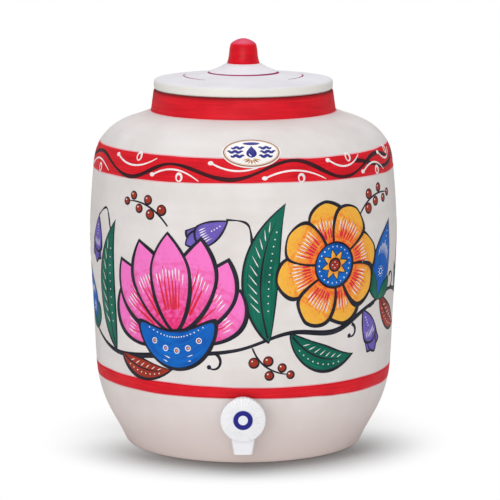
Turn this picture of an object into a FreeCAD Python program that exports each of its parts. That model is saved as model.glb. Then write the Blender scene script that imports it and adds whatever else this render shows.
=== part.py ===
"""Clay water pot with a loose lid and a quarter-turn plastic tap.

Millimetres, +Z up. The origin is on the pot's axis at the underside of its foot, and the
tap points along -Y. Each sub-part is written to parts/NODE.step.
"""

import FreeCAD
import Part
import math
import os

Vector = FreeCAD.Vector

# ---- Pot outline: a chain of points from the foot to the collar.
# Each rise is the height from the point before it. Each inset is how far the point stands
# inside the widest radius.
BELLY_RADIUS = 135.3
FOOT_RADIUS = 104.0
HEEL_RISE = 15.0
HEEL_INSET = 23.9
FLANK_RISE = 15.0
FLANK_INSET = 15.7
HIP_RISE = 30.0
HIP_INSET = 6.0
WAIST_RISE = 18.0
WAIST_INSET = 4.3
SIDE_RISE = 42.0
SIDE_INSET = 2.5
BELLY_RISE = 80.0
SHOULDER_RISE = 40.0
SHOULDER_INSET = 2.7
TURN_RISE = 25.0
TURN_INSET = 7.9
CROWN_RISE = 18.0
CROWN_INSET = 26.2
SLOPE_RISE = 6.2
SLOPE_INSET = 42.6
COLLAR_FOOT_RISE = 4.5
COLLAR_FOOT_RADIUS = 81.0
COLLAR_RISE = 18.9
COLLAR_TOP_RADIUS = 78.4

# ---- Pot walls
WALL = 9.0
FLOOR = 11.0
FLOOR_CURVE = 16.0
COLLAR_WALL = 8.4
FOOT_ROUND = 1.8
COLLAR_OUTER_ROUND = 3.0
COLLAR_INNER_ROUND = 1.5

# ---- Lid
LID_OVERHANG = 0.1
LID_EDGE = 8.2
LID_EDGE_ROUND = 2.6
LID_SLOPE_RISE = 5.2
LID_STEP_RADIUS = 31.0
LID_STEP_RUN = 2.5
LID_STEP_RISE = 2.0
LID_CONE_RISE = 6.5
LID_WALL = 9.0
LID_RING_GAP = 3.5
LID_RING_WALL = 9.0
LID_RING_DEPTH = 12.0
LID_RING_ROUND = 2.0

# ---- Lid knob, luted on with a tenon
KNOB_FOOT_RADIUS = 14.5
KNOB_NECK_RADIUS = 12.2
KNOB_NECK_RISE = 8.0
KNOB_HEAD_RADIUS = 11.0
KNOB_HEAD_RISE = 8.5
KNOB_DOME_RISE = 5.3
KNOB_EDGE_ROUND = 1.2
TENON_RADIUS = 6.0
TENON_LENGTH = 6.0
TENON_GAP = 0.3

# ---- Tap place and the clay boss that gives it two flat seats
TAP_HEIGHT = 49.9
BOSS_RADIUS = 14.0
BOSS_STAND = 0.5
BOSS_ROUND = 1.0
WALL_HOLE_RADIUS = 11.0

# ---- Tap body, lengths along the tap's axis
FLANGE_RADIUS = 14.2
FLANGE_THICKNESS = 2.5
BARREL_RADIUS = 11.2
BARREL_LENGTH = 12.0
HEAD_RADIUS = 12.4
HEAD_LENGTH = 5.5
SHANK_RADIUS = 10.2
SHANK_BORE_RADIUS = 6.0
CHAMBER_RADIUS = 8.5
CHAMBER_BACK = 1.0
SHANK_SPARE = 3.0
BEAD_RADIUS = 0.5
BEAD_SETBACK = 2.6

# ---- Spout: straight sides below the barrel, then a taper to the tip
SPOUT_TIP_HEIGHT = 17.6
SPOUT_WIDTH = 20.8
SPOUT_TIP_WIDTH = 15.8
SPOUT_TAPER_LENGTH = 15.5
SPOUT_DEPTH = 12.0
SPOUT_CORNER = 2.2
SPOUT_BORE_RADIUS = 4.4
SPOUT_BORE_LENGTH = 14.0
OUTLET_RADIUS = 3.5
PANEL_BORDER = 2.6
PANEL_DEPTH = 0.35

# ---- Half-inch pipe thread on the shank
THREAD_MAJOR_RADIUS = 10.4
THREAD_DEPTH = 1.1
THREAD_PITCH = 1.814
THREAD_ROOT_WIDTH = 1.35
THREAD_CREST_WIDTH = 0.45
THREAD_GAP = 0.15
THREAD_SINK = 0.4
THREAD_RUNOUT = 1.5

# ---- Gaskets, washer and back nut
GASKET_BORE_RADIUS = 10.8
OUTER_GASKET_RADIUS = 13.6
OUTER_GASKET_THICKNESS = 2.0
INNER_GASKET_RADIUS = 13.8
INNER_GASKET_THICKNESS = 3.0
WASHER_RADIUS = 15.0
WASHER_THICKNESS = 1.5
NUT_LENGTH = 9.0
NUT_ACROSS_FLATS = 27.0
NUT_FLANGE_RADIUS = 15.5
NUT_FLANGE_THICKNESS = 2.0
NUT_CHAMFER = 1.2

# ---- Valve plug
PLUG_CLEARANCE = 0.05
PLUG_BORE_RADIUS = 5.0
PLUG_BORE_SPARE = 0.6
PLUG_END_GAP = 0.4
PORT_RADIUS = 3.5
SHOULDER_RADIUS = 9.4
SHOULDER_LENGTH = 2.0
SHOULDER_GAP = 0.15
STOP_TAB_RADIUS = 10.6
STOP_TAB_ANGLE = 24.0
STOP_GAP_ANGLE = 1.0
OPENING_ANGLE = 90.0
SQUARE_WIDTH = 8.0
SQUARE_LENGTH = 3.2
ORING_SECTION_RADIUS = 0.7
ORING_OFFSET = 6.2
ORING_GROOVE_GAP = 0.1
ORING_WALL_GAP = 0.03
SEAL_RADIUS = 4.6
SEAL_DEPTH = 2.1
SEAL_GAP = 0.1
SEAL_WALL_GAP = 0.04

# ---- Thrust washer and snap-on bonnet ring
THRUST_WASHER_THICKNESS = 0.6
THRUST_WASHER_RADIUS = 9.3
BONNET_RADIUS = 14.2
BONNET_LIP = 1.8
BONNET_SKIRT = 4.4
BONNET_FIT_GAP = 0.08
BONNET_ROUND = 0.8
HUB_GAP = 0.2

# ---- Tap knob: a fluted dial with a hub that reaches the plug through the bonnet
DIAL_RADIUS = 19.0
DIAL_RIM = 5.2
DIAL_DOME = 1.2
DIAL_EDGE_ROUND = 0.8
DIAL_RECESS_RADIUS = 15.4
DIAL_RECESS_DEPTH = 1.8
DIAL_BONNET_GAP = 0.5
HUB_RADIUS = 7.2
HUB_END_GAP = 0.3
SOCKET_GAP = 0.1
FLUTE_COUNT = 36
FLUTE_RADIUS = 0.7
FLUTE_DEPTH = 0.35
FLUTE_START_RADIUS = 10.4

# ---- Knob screw, cap and cap label
SCREW_HEAD_RADIUS = 2.8
SCREW_HEAD_HEIGHT = 1.5
SCREW_RADIUS = 1.4
SCREW_LENGTH = 7.5
PILOT_LENGTH = 9.0
PILOT_GAP = 0.04
SCREW_HEAD_GAP = 0.3
SCREW_SLOT_WIDTH = 0.8
SCREW_SLOT_DEPTH = 0.8
CAP_RADIUS = 8.9
CAP_THICKNESS = 1.3
CAP_GAP = 0.08
CAP_PROUD = 0.35
CAP_SPIGOT_LENGTH = 0.5
CAP_SPIGOT_WALL = 1.0
CAP_ABOVE_SCREW = 0.7
CAP_LABEL_OUTER_RADIUS = 8.2
CAP_LABEL_INNER_RADIUS = 4.1
CAP_LABEL_THICKNESS = 0.15

# ---- Oval label on the shoulder
LABEL_WIDTH = 50.0
LABEL_DEPTH = 29.0
LABEL_THICKNESS = 0.3
LABEL_GLUE = 0.06
LABEL_DROP = 22.0
LABEL_TURN = 3.3
LABEL_REACH = 6.0

# ---- Work values that only make cutters overshoot or curves close
OVERSHOOT = 1.0
HALVINGS = 60

# ---- Places worked out from the sizes above
OUTLINE_STEPS = [
    (HEEL_RISE, BELLY_RADIUS - HEEL_INSET),
    (FLANK_RISE, BELLY_RADIUS - FLANK_INSET),
    (HIP_RISE, BELLY_RADIUS - HIP_INSET),
    (WAIST_RISE, BELLY_RADIUS - WAIST_INSET),
    (SIDE_RISE, BELLY_RADIUS - SIDE_INSET),
    (BELLY_RISE, BELLY_RADIUS),
    (SHOULDER_RISE, BELLY_RADIUS - SHOULDER_INSET),
    (TURN_RISE, BELLY_RADIUS - TURN_INSET),
    (CROWN_RISE, BELLY_RADIUS - CROWN_INSET),
    (SLOPE_RISE, BELLY_RADIUS - SLOPE_INSET),
    (COLLAR_FOOT_RISE, COLLAR_FOOT_RADIUS),
]
COLLAR_FOOT_HEIGHT = sum(rise for rise, radius in OUTLINE_STEPS)
COLLAR_TOP_HEIGHT = COLLAR_FOOT_HEIGHT + COLLAR_RISE
COLLAR_BORE_RADIUS = COLLAR_TOP_RADIUS - COLLAR_WALL
AXIS = Vector(0, 0, 1)
ORIGIN = Vector(0, 0, 0)


# ---------------------------------------------------------------- shared helpers
def at(radius, height):
    """A point of a turned profile."""
    return Vector(radius, 0, height)


def spline(points):
    """A smooth curve through the points."""
    curve = Part.BSplineCurve()
    curve.interpolate(points)
    return curve


def line(start, end):
    return Part.LineSegment(start, end).toShape()


def turned(edges):
    """The solid that a closed profile in the XZ plane sweeps round Z."""
    face = Part.Face(Part.Wire(edges))
    return face.revolve(ORIGIN, AXIS, 360)


def turned_polygon(points):
    """A turned solid whose profile has straight sides."""
    corners = points + [points[0]]
    return turned([line(a, b) for a, b in zip(corners, corners[1:])])


def tube(outer, inner, start, end):
    """A ring about Z from start to end."""
    ring = Part.makeCylinder(outer, end - start, Vector(0, 0, start))
    bore = Part.makeCylinder(inner, end - start + 2 * OVERSHOOT, Vector(0, 0, start - OVERSHOOT))
    return ring.cut(bore)


def rod(radius, start, end):
    """A cylinder about Z from start to end."""
    return Part.makeCylinder(radius, end - start, Vector(0, 0, start))


def circle_edges(shape, radius, height):
    """The full circles about Z of that radius at that height."""
    found = []
    for edge in shape.Edges:
        if not edge.Degenerated and isinstance(edge.Curve, Part.Circle):
            same_radius = abs(edge.Curve.Radius - radius) < 1e-4
            same_height = abs(edge.Curve.Center.z - height) < 1e-4
            on_axis = math.hypot(edge.Curve.Center.x, edge.Curve.Center.y) < 1e-4
            if same_radius and same_height and on_axis:
                found.append(edge)
    return found


def rounded(shape, size, radius, height):
    """The shape with its circular edge at that radius and height rounded."""
    return shape.makeFillet(size, circle_edges(shape, radius, height))


def point_at_height(curve, height):
    """(point, outward normal) of a rising profile curve at a height, found by halving."""
    low = curve.FirstParameter
    high = curve.LastParameter
    for _ in range(HALVINGS):
        middle = (low + high) / 2
        if curve.value(middle).z < height:
            low = middle
        else:
            high = middle
    return curve.value(low), outward_normal(curve, low)


def outward_normal(curve, parameter):
    """The unit normal of a rising profile curve, away from the axis."""
    along = curve.tangent(parameter)[0]
    return Vector(along.z, 0, -along.x)


# ---------------------------------------------------------------- pot
def outline_points():
    """The outer outline, from the foot up to the collar."""
    points = [at(FOOT_RADIUS, 0)]
    for rise, radius in OUTLINE_STEPS:
        points.append(at(radius, points[-1].z + rise))
    return points


def inner_outline(outline):
    """The inner wall's curve, one wall inside the outline, from below the floor to the neck."""
    points = []
    for point in outline_points():
        parameter = outline.parameter(point)
        points.append(point - outward_normal(outline, parameter) * WALL)
    return spline(points)


def outer_blank(outline):
    """The pot's outer form up to the collar's foot, filled."""
    foot = at(FOOT_RADIUS, 0)
    top = at(COLLAR_FOOT_RADIUS, COLLAR_FOOT_HEIGHT)
    axis_top = at(0, COLLAR_FOOT_HEIGHT)
    return turned([line(ORIGIN, foot), outline.toShape(), line(top, axis_top), line(axis_top, ORIGIN)])


def water_space(inner):
    """The pot's hollow below the collar, with the floor's curve."""
    start, _ = point_at_height(inner, FLOOR)
    start_parameter = inner.parameter(start)
    end = inner.value(inner.LastParameter)
    wall = Part.Edge(inner, start_parameter, inner.LastParameter)
    axis_top = at(0, end.z)
    axis_floor = at(0, start.z)
    hollow = turned([line(axis_floor, start), wall, line(end, axis_top), line(axis_top, axis_floor)])
    return rounded(hollow, FLOOR_CURVE, start.x, start.z)


def collar():
    """The upright neck, which tapers a little towards its flat top."""
    sunk = COLLAR_FOOT_HEIGHT - WALL / 2
    blank = turned_polygon([
        at(0, sunk),
        at(COLLAR_FOOT_RADIUS, sunk),
        at(COLLAR_FOOT_RADIUS, COLLAR_FOOT_HEIGHT),
        at(COLLAR_TOP_RADIUS, COLLAR_TOP_HEIGHT),
        at(0, COLLAR_TOP_HEIGHT),
    ])
    return rounded(blank, COLLAR_OUTER_ROUND, COLLAR_TOP_RADIUS, COLLAR_TOP_HEIGHT)


def tap_seats(outline, inner):
    """Distances from the pot's axis to the boss's outer and inner flat seats."""
    outer_point, _ = point_at_height(outline, TAP_HEIGHT + BOSS_RADIUS)
    inner_point, _ = point_at_height(inner, TAP_HEIGHT - BOSS_RADIUS)
    inner_chord = math.sqrt(inner_point.x ** 2 - BOSS_RADIUS ** 2)
    return outer_point.x + BOSS_STAND, inner_chord - BOSS_STAND


def pot_body(outline, inner, outer_seat, inner_seat):
    """The thrown clay vessel with its collar, tap boss and tap hole."""
    outward = Vector(0, -1, 0)
    vessel = outer_blank(outline).fuse(collar())
    vessel = rounded(vessel, FOOT_ROUND, FOOT_RADIUS, 0)
    vessel = vessel.cut(water_space(inner))
    boss = Part.makeCylinder(
        BOSS_RADIUS, outer_seat - inner_seat, Vector(0, -inner_seat, TAP_HEIGHT), outward)
    rims = [e for e in boss.Edges if isinstance(e.Curve, Part.Circle)]
    boss = boss.makeFillet(BOSS_ROUND, rims)
    neck_start = COLLAR_FOOT_HEIGHT - WALL - COLLAR_WALL
    neck = rod(COLLAR_BORE_RADIUS, neck_start, COLLAR_TOP_HEIGHT + OVERSHOOT)
    hole = Part.makeCylinder(
        WALL_HOLE_RADIUS, outer_seat - inner_seat + 2 * OVERSHOOT,
        Vector(0, -inner_seat + OVERSHOOT, TAP_HEIGHT), outward)
    vessel = vessel.fuse(boss).cut(neck).cut(hole).removeSplitter()
    return rounded(vessel, COLLAR_INNER_ROUND, COLLAR_BORE_RADIUS, COLLAR_TOP_HEIGHT)


def pot_label(outline):
    """A thin oval label that follows the shoulder."""
    height = COLLAR_FOOT_HEIGHT - LABEL_DROP
    centre, normal = point_at_height(outline, height)
    glued = outer_blank(outline)
    raised = glued.copy()
    glued.translate(normal * LABEL_GLUE)
    raised.translate(normal * (LABEL_GLUE + LABEL_THICKNESS))
    across = Vector(0, 1, 0)
    wide_end = centre + across * (LABEL_WIDTH / 2)
    deep_end = centre + normal.cross(across) * (LABEL_DEPTH / 2)
    oval = Part.Face(Part.Wire(Part.Ellipse(wide_end, deep_end, centre).toShape()))
    oval.translate(normal * -LABEL_REACH)
    prism = oval.extrude(normal * (2 * LABEL_REACH))
    label = raised.common(prism).cut(glued)
    label.rotate(ORIGIN, AXIS, LABEL_TURN - 90)
    return label


# ---------------------------------------------------------------- lid
def lid_levels():
    """Heights of the lid's edge, the step's foot, the cone's foot and the knob's seat."""
    edge = COLLAR_TOP_HEIGHT + LID_EDGE
    step = edge + LID_SLOPE_RISE
    cone = step + LID_STEP_RISE
    return edge, step, cone, cone + LID_CONE_RISE


def lid():
    """The clay lid: a disc that rests on the collar, with a ring that keeps it central."""
    edge, step, cone, seat = lid_levels()
    radius = COLLAR_TOP_RADIUS + LID_OVERHANG
    ring_outer = COLLAR_BORE_RADIUS - LID_RING_GAP
    ring_inner = ring_outer - LID_RING_WALL
    ring_end = COLLAR_TOP_HEIGHT - LID_RING_DEPTH
    blank = turned_polygon([
        at(0, ring_end),
        at(ring_outer, ring_end),
        at(ring_outer, COLLAR_TOP_HEIGHT),
        at(radius, COLLAR_TOP_HEIGHT),
        at(radius, edge),
        at(LID_STEP_RADIUS, step),
        at(LID_STEP_RADIUS - LID_STEP_RUN, cone),
        at(KNOB_FOOT_RADIUS, seat),
        at(0, seat),
    ])
    blank = rounded(blank, LID_EDGE_ROUND, radius, edge)
    blank = rounded(blank, LID_RING_ROUND, ring_outer, ring_end)
    hollow = turned_polygon([
        at(0, ring_end - OVERSHOOT),
        at(ring_inner, ring_end - OVERSHOOT),
        at(ring_inner, edge - LID_WALL),
        at(LID_STEP_RADIUS, step - LID_WALL),
        at(TENON_RADIUS, seat - LID_WALL),
        at(0, seat - LID_WALL),
    ])
    socket = rod(TENON_RADIUS + TENON_GAP, seat - TENON_LENGTH - TENON_GAP, seat + OVERSHOOT)
    return blank.cut(hollow).cut(socket)


def lid_knob():
    """The turned knob, whose tenon sits in the lid's socket."""
    seat = lid_levels()[-1]
    head = seat + KNOB_NECK_RISE + KNOB_HEAD_RISE
    top = head + KNOB_DOME_RISE
    tenon_end = seat - TENON_LENGTH
    side = spline([
        at(KNOB_FOOT_RADIUS, seat),
        at(KNOB_NECK_RADIUS, seat + KNOB_NECK_RISE),
        at(KNOB_HEAD_RADIUS, head),
    ])
    dome = Part.Arc(
        at(KNOB_HEAD_RADIUS, head),
        at(KNOB_HEAD_RADIUS / 2, head + KNOB_DOME_RISE * 3 / 4),
        at(0, top)).toShape()
    knob = turned([
        line(at(0, tenon_end), at(TENON_RADIUS, tenon_end)),
        line(at(TENON_RADIUS, tenon_end), at(TENON_RADIUS, seat)),
        line(at(TENON_RADIUS, seat), at(KNOB_FOOT_RADIUS, seat)),
        side.toShape(),
        dome,
        line(at(0, top), at(0, tenon_end)),
    ])
    return rounded(knob, KNOB_EDGE_ROUND, KNOB_HEAD_RADIUS, head)


# ---------------------------------------------------------------- tap
# The tap is modelled in its own frame: +Z out of the pot, +Y up, and the origin on the
# boss's outer seat. These are places along that Z.
FLANGE_BACK = OUTER_GASKET_THICKNESS
FLANGE_FRONT = FLANGE_BACK + FLANGE_THICKNESS
HEAD_BACK = FLANGE_FRONT + BARREL_LENGTH
HEAD_FRONT = HEAD_BACK + HEAD_LENGTH
CHAMBER_START = FLANGE_BACK + CHAMBER_BACK
SHOULDER_FRONT = HEAD_FRONT - THRUST_WASHER_THICKNESS
SHOULDER_BACK = SHOULDER_FRONT - SHOULDER_LENGTH
PORT_PLACE = (CHAMBER_START + SHOULDER_BACK) / 2
BONNET_FRONT = HEAD_FRONT + BONNET_LIP
DIAL_WEB_BACK = BONNET_FRONT + DIAL_BONNET_GAP
DIAL_BACK = DIAL_WEB_BACK - DIAL_RECESS_DEPTH
DIAL_FRONT = DIAL_BACK + DIAL_RIM
DIAL_FACE = DIAL_FRONT + DIAL_DOME
HUB_BACK = SHOULDER_FRONT + HUB_END_GAP
SQUARE_END = SHOULDER_FRONT + SQUARE_LENGTH
CAP_SEAT = DIAL_FACE + CAP_PROUD - CAP_THICKNESS
SCREW_SEAT = CAP_SEAT - CAP_ABOVE_SCREW - SCREW_HEAD_HEIGHT
PLUG_RADIUS = CHAMBER_RADIUS - PLUG_CLEARANCE
THREAD_CORE_RADIUS = THREAD_MAJOR_RADIUS - THREAD_DEPTH


def sector(radius, start, end, middle_angle, width_angle):
    """A wedge of a cylinder about Z, centred on an angle measured from +X."""
    wedge = Part.makeCylinder(radius, end - start, Vector(0, 0, start), AXIS, width_angle)
    wedge.rotate(ORIGIN, AXIS, middle_angle - width_angle / 2)
    return wedge


def thread_ridge(core_radius, length, growth):
    """A helical ridge on a core of that radius. Growth thickens it, for cutting a nut."""
    helix = Part.makeHelix(THREAD_PITCH, length, core_radius)
    crest = core_radius + THREAD_DEPTH
    root_half = THREAD_ROOT_WIDTH / 2 + growth
    crest_half = THREAD_CREST_WIDTH / 2 + growth
    corners = [
        at(core_radius - THREAD_SINK, -root_half),
        at(crest, -crest_half),
        at(crest, crest_half),
        at(core_radius - THREAD_SINK, root_half),
    ]
    sweep = Part.BRepOffsetAPI.MakePipeShell(Part.Wire(helix.Edges))
    sweep.setFrenetMode(True)
    sweep.add(Part.makePolygon(corners + [corners[0]]))
    sweep.build()
    sweep.makeSolid()
    return sweep.shape()


def back_places(seat_depth):
    """Places behind the boss: the gasket's, washer's and nut's far sides and the shank's end."""
    gasket = -seat_depth - INNER_GASKET_THICKNESS
    washer = gasket - WASHER_THICKNESS
    nut = washer - NUT_LENGTH
    return gasket, washer, nut, nut - SHANK_SPARE


def spout_section(width, height):
    """Rounded rectangle across the spout at a height in the tap's frame."""
    half = width / 2
    half_depth = SPOUT_DEPTH / 2
    flat = half - SPOUT_CORNER
    flat_depth = half_depth - SPOUT_CORNER
    lean = SPOUT_CORNER * math.sqrt(0.5)

    def point(x, z):
        return Vector(x, height, PORT_PLACE + z)

    edges = []
    for sx, sz in ((1, 1), (-1, 1), (-1, -1), (1, -1)):
        ends = [point(sx * half, sz * flat_depth), point(sx * flat, sz * half_depth)]
        if sx * sz < 0:
            ends.reverse()
        middle = point(sx * (flat + lean), sz * (flat_depth + lean))
        edges.append(Part.Arc(ends[0], middle, ends[1]).toShape())
    sides = []
    for first, second in zip(edges, edges[1:] + edges[:1]):
        sides += [first, line(first.lastVertex(True).Point, second.firstVertex(True).Point)]
    return Part.Wire(sides)


def spout():
    """The spout's outside, with a shallow panel sunk in its front."""
    tip = SPOUT_TIP_HEIGHT - TAP_HEIGHT
    bend = tip + SPOUT_TAPER_LENGTH
    blank = Part.makeLoft([
        spout_section(SPOUT_TIP_WIDTH, tip),
        spout_section(SPOUT_WIDTH, bend),
        spout_section(SPOUT_WIDTH, 0),
    ], True, True)
    front = PORT_PLACE + SPOUT_DEPTH / 2
    low = SPOUT_TIP_WIDTH / 2 - PANEL_BORDER
    high = SPOUT_WIDTH / 2 - PANEL_BORDER
    corners = [
        Vector(-low, tip + PANEL_BORDER, front - PANEL_DEPTH),
        Vector(low, tip + PANEL_BORDER, front - PANEL_DEPTH),
        Vector(high, bend, front - PANEL_DEPTH),
        Vector(-high, bend, front - PANEL_DEPTH),
    ]
    panel = Part.Face(Part.makePolygon(corners + [corners[0]]))
    return blank.cut(panel.extrude(Vector(0, 0, PANEL_DEPTH + OVERSHOOT)))


def tap_body(seat_depth):
    """Barrel, flange, threaded shank and spout, moulded in one piece."""
    gasket_end, _, _, shank_end = back_places(seat_depth)
    thread_start = shank_end + THREAD_RUNOUT
    thread_end = gasket_end + THREAD_PITCH
    ridge = thread_ridge(THREAD_CORE_RADIUS, thread_end - thread_start - THREAD_RUNOUT, 0)
    ridge.translate(Vector(0, 0, thread_start))
    shank = rod(THREAD_CORE_RADIUS, shank_end, thread_end).fuse(ridge)
    solid = shank.multiFuse([
        rod(SHANK_RADIUS, thread_end, FLANGE_BACK),
        rod(FLANGE_RADIUS, FLANGE_BACK, FLANGE_FRONT),
        rod(BARREL_RADIUS, FLANGE_FRONT, HEAD_BACK),
        rod(HEAD_RADIUS, HEAD_BACK, HEAD_FRONT),
        Part.makeTorus(HEAD_RADIUS, BEAD_RADIUS, Vector(0, 0, HEAD_FRONT - BEAD_SETBACK)),
        spout(),
    ])
    tip = SPOUT_TIP_HEIGHT - TAP_HEIGHT
    up = Vector(0, 1, 0)
    mouth_start = Vector(0, tip - OVERSHOOT, PORT_PLACE)
    recess_angle = STOP_TAB_ANGLE + OPENING_ANGLE + 2 * STOP_GAP_ANGLE
    return solid.cut([
        rod(CHAMBER_RADIUS, CHAMBER_START, HEAD_FRONT),
        rod(SHOULDER_RADIUS + SHOULDER_GAP, SHOULDER_BACK, HEAD_FRONT + OVERSHOOT),
        rod(SHANK_BORE_RADIUS, shank_end - OVERSHOOT, CHAMBER_START + OVERSHOOT),
        Part.makeCylinder(OUTLET_RADIUS, -tip, Vector(0, tip, PORT_PLACE), up),
        Part.makeCylinder(SPOUT_BORE_RADIUS, SPOUT_BORE_LENGTH + OVERSHOOT, mouth_start, up),
        sector(
            STOP_TAB_RADIUS + SHOULDER_GAP, SHOULDER_BACK, HEAD_FRONT + OVERSHOOT,
            90 + OPENING_ANGLE / 2, recess_angle),
    ])


def outer_gasket():
    return tube(OUTER_GASKET_RADIUS, GASKET_BORE_RADIUS, 0, FLANGE_BACK)


def inner_gasket(seat_depth):
    gasket_end = back_places(seat_depth)[0]
    return tube(INNER_GASKET_RADIUS, GASKET_BORE_RADIUS, gasket_end, -seat_depth)


def back_washer(seat_depth):
    gasket_end, washer_end = back_places(seat_depth)[:2]
    return tube(WASHER_RADIUS, GASKET_BORE_RADIUS, washer_end, gasket_end)


def back_nut(seat_depth):
    """Flanged hexagon nut with the shank's thread cut in it."""
    _, washer_end, nut_end, shank_end = back_places(seat_depth)
    corner_radius = NUT_ACROSS_FLATS / math.sqrt(3)
    turns = [math.radians(60 * n) for n in range(7)]
    corners = [Vector(corner_radius * math.cos(a), corner_radius * math.sin(a), nut_end) for a in turns]
    hexagon = Part.Face(Part.makePolygon(corners)).extrude(Vector(0, 0, NUT_LENGTH))
    chamfer_cone = Part.makeCone(
        corner_radius - NUT_CHAMFER, corner_radius + NUT_LENGTH, NUT_LENGTH + NUT_CHAMFER,
        Vector(0, 0, nut_end))
    flange = rod(NUT_FLANGE_RADIUS, washer_end - NUT_FLANGE_THICKNESS, washer_end)
    blank = hexagon.common(chamfer_cone).fuse(flange)
    # The cutter's core is longer than its ridge, so the ridge's ends stay inside the core.
    bore_radius = THREAD_CORE_RADIUS + THREAD_GAP
    ridge_length = SHANK_SPARE + NUT_LENGTH + THREAD_PITCH
    ridge = thread_ridge(bore_radius, ridge_length, THREAD_GAP)
    ridge.translate(Vector(0, 0, shank_end + THREAD_RUNOUT))
    core_start = shank_end - THREAD_PITCH
    core_end = shank_end + THREAD_RUNOUT + ridge_length + 2 * THREAD_PITCH
    return blank.cut(rod(bore_radius, core_start, core_end).fuse(ridge))


def valve_plug():
    """Hollow plug: water enters its open back and leaves by the port in its side."""
    back = CHAMBER_START + PLUG_END_GAP
    half = SQUARE_WIDTH / 2
    solid = rod(PLUG_RADIUS, back, SHOULDER_BACK).multiFuse([
        rod(SHOULDER_RADIUS, SHOULDER_BACK, SHOULDER_FRONT),
        sector(STOP_TAB_RADIUS, SHOULDER_BACK, SHOULDER_FRONT, 90, STOP_TAB_ANGLE),
        Part.makeBox(
            SQUARE_WIDTH, SQUARE_WIDTH, SQUARE_LENGTH, Vector(-half, -half, SHOULDER_FRONT)),
    ])
    groove_floor = PLUG_RADIUS - 2 * ORING_SECTION_RADIUS
    groove_half = ORING_SECTION_RADIUS + ORING_GROOVE_GAP
    grooves = [
        tube(PLUG_RADIUS + OVERSHOOT, groove_floor, place - groove_half, place + groove_half)
        for place in oring_places()
    ]
    seal_floor = Vector(0, SEAL_DEPTH - PLUG_RADIUS, PORT_PLACE)
    middle = Vector(0, 0, PORT_PLACE)
    return solid.cut(grooves + [
        rod(PLUG_BORE_RADIUS, back - OVERSHOOT, PORT_PLACE + PORT_RADIUS + PLUG_BORE_SPARE),
        Part.makeCylinder(PORT_RADIUS, PLUG_RADIUS + OVERSHOOT, middle, Vector(-1, 0, 0)),
        Part.makeCylinder(SEAL_RADIUS + SEAL_GAP, PLUG_RADIUS, seal_floor, Vector(0, -1, 0)),
        rod(SCREW_RADIUS + PILOT_GAP, SCREW_SEAT - PILOT_LENGTH, SQUARE_END + OVERSHOOT),
    ])


def oring_places():
    return PORT_PLACE - ORING_OFFSET, PORT_PLACE + ORING_OFFSET


def o_ring(place):
    centre_radius = CHAMBER_RADIUS - ORING_WALL_GAP - ORING_SECTION_RADIUS
    return Part.makeTorus(centre_radius, ORING_SECTION_RADIUS, Vector(0, 0, place))


def outlet_seal():
    """Soft pad in the plug's side that covers the spout's outlet while the tap is shut."""
    floor = Vector(0, SEAL_DEPTH - PLUG_RADIUS, PORT_PLACE)
    pad = Part.makeCylinder(SEAL_RADIUS, PLUG_RADIUS, floor, Vector(0, -1, 0))
    return pad.common(rod(CHAMBER_RADIUS - SEAL_WALL_GAP, CHAMBER_START, SHOULDER_BACK))


def thrust_washer():
    return tube(THRUST_WASHER_RADIUS, HUB_RADIUS + HUB_GAP, SHOULDER_FRONT, HEAD_FRONT)


def bonnet_ring():
    """Ring that snaps over the bead on the barrel's head and keeps the plug in."""
    skirt_back = HEAD_FRONT - BONNET_SKIRT
    ring = rounded(
        rod(BONNET_RADIUS, skirt_back, BONNET_FRONT), BONNET_ROUND, BONNET_RADIUS, BONNET_FRONT)
    bead_place = Vector(0, 0, HEAD_FRONT - BEAD_SETBACK)
    return ring.cut([
        rod(HEAD_RADIUS + BONNET_FIT_GAP, skirt_back - OVERSHOOT, HEAD_FRONT),
        rod(HUB_RADIUS + HUB_GAP, skirt_back, BONNET_FRONT + OVERSHOOT),
        Part.makeTorus(HEAD_RADIUS, BEAD_RADIUS + BONNET_FIT_GAP, bead_place),
    ])


def flutes():
    """Radial grooves across the dial's face that run on down its rim."""
    slope = math.atan2(DIAL_DOME, DIAL_RADIUS - CAP_RADIUS)
    lift = FLUTE_RADIUS - FLUTE_DEPTH
    fall = (FLUTE_START_RADIUS - CAP_RADIUS) * math.tan(slope)
    start = Vector(FLUTE_START_RADIUS, 0, DIAL_FACE + lift - fall)
    along = Vector(math.cos(slope), 0, -math.sin(slope))
    cutters = []
    for n in range(FLUTE_COUNT):
        face_flute = Part.makeCylinder(FLUTE_RADIUS, DIAL_RADIUS, start, along)
        rim_flute = rod(FLUTE_RADIUS, DIAL_BACK - OVERSHOOT, DIAL_FACE + OVERSHOOT)
        rim_flute.translate(Vector(DIAL_RADIUS + lift, 0, 0))
        for cutter in (face_flute, rim_flute):
            cutter.rotate(ORIGIN, AXIS, 360 * n / FLUTE_COUNT)
            cutters.append(cutter)
    return cutters


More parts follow.
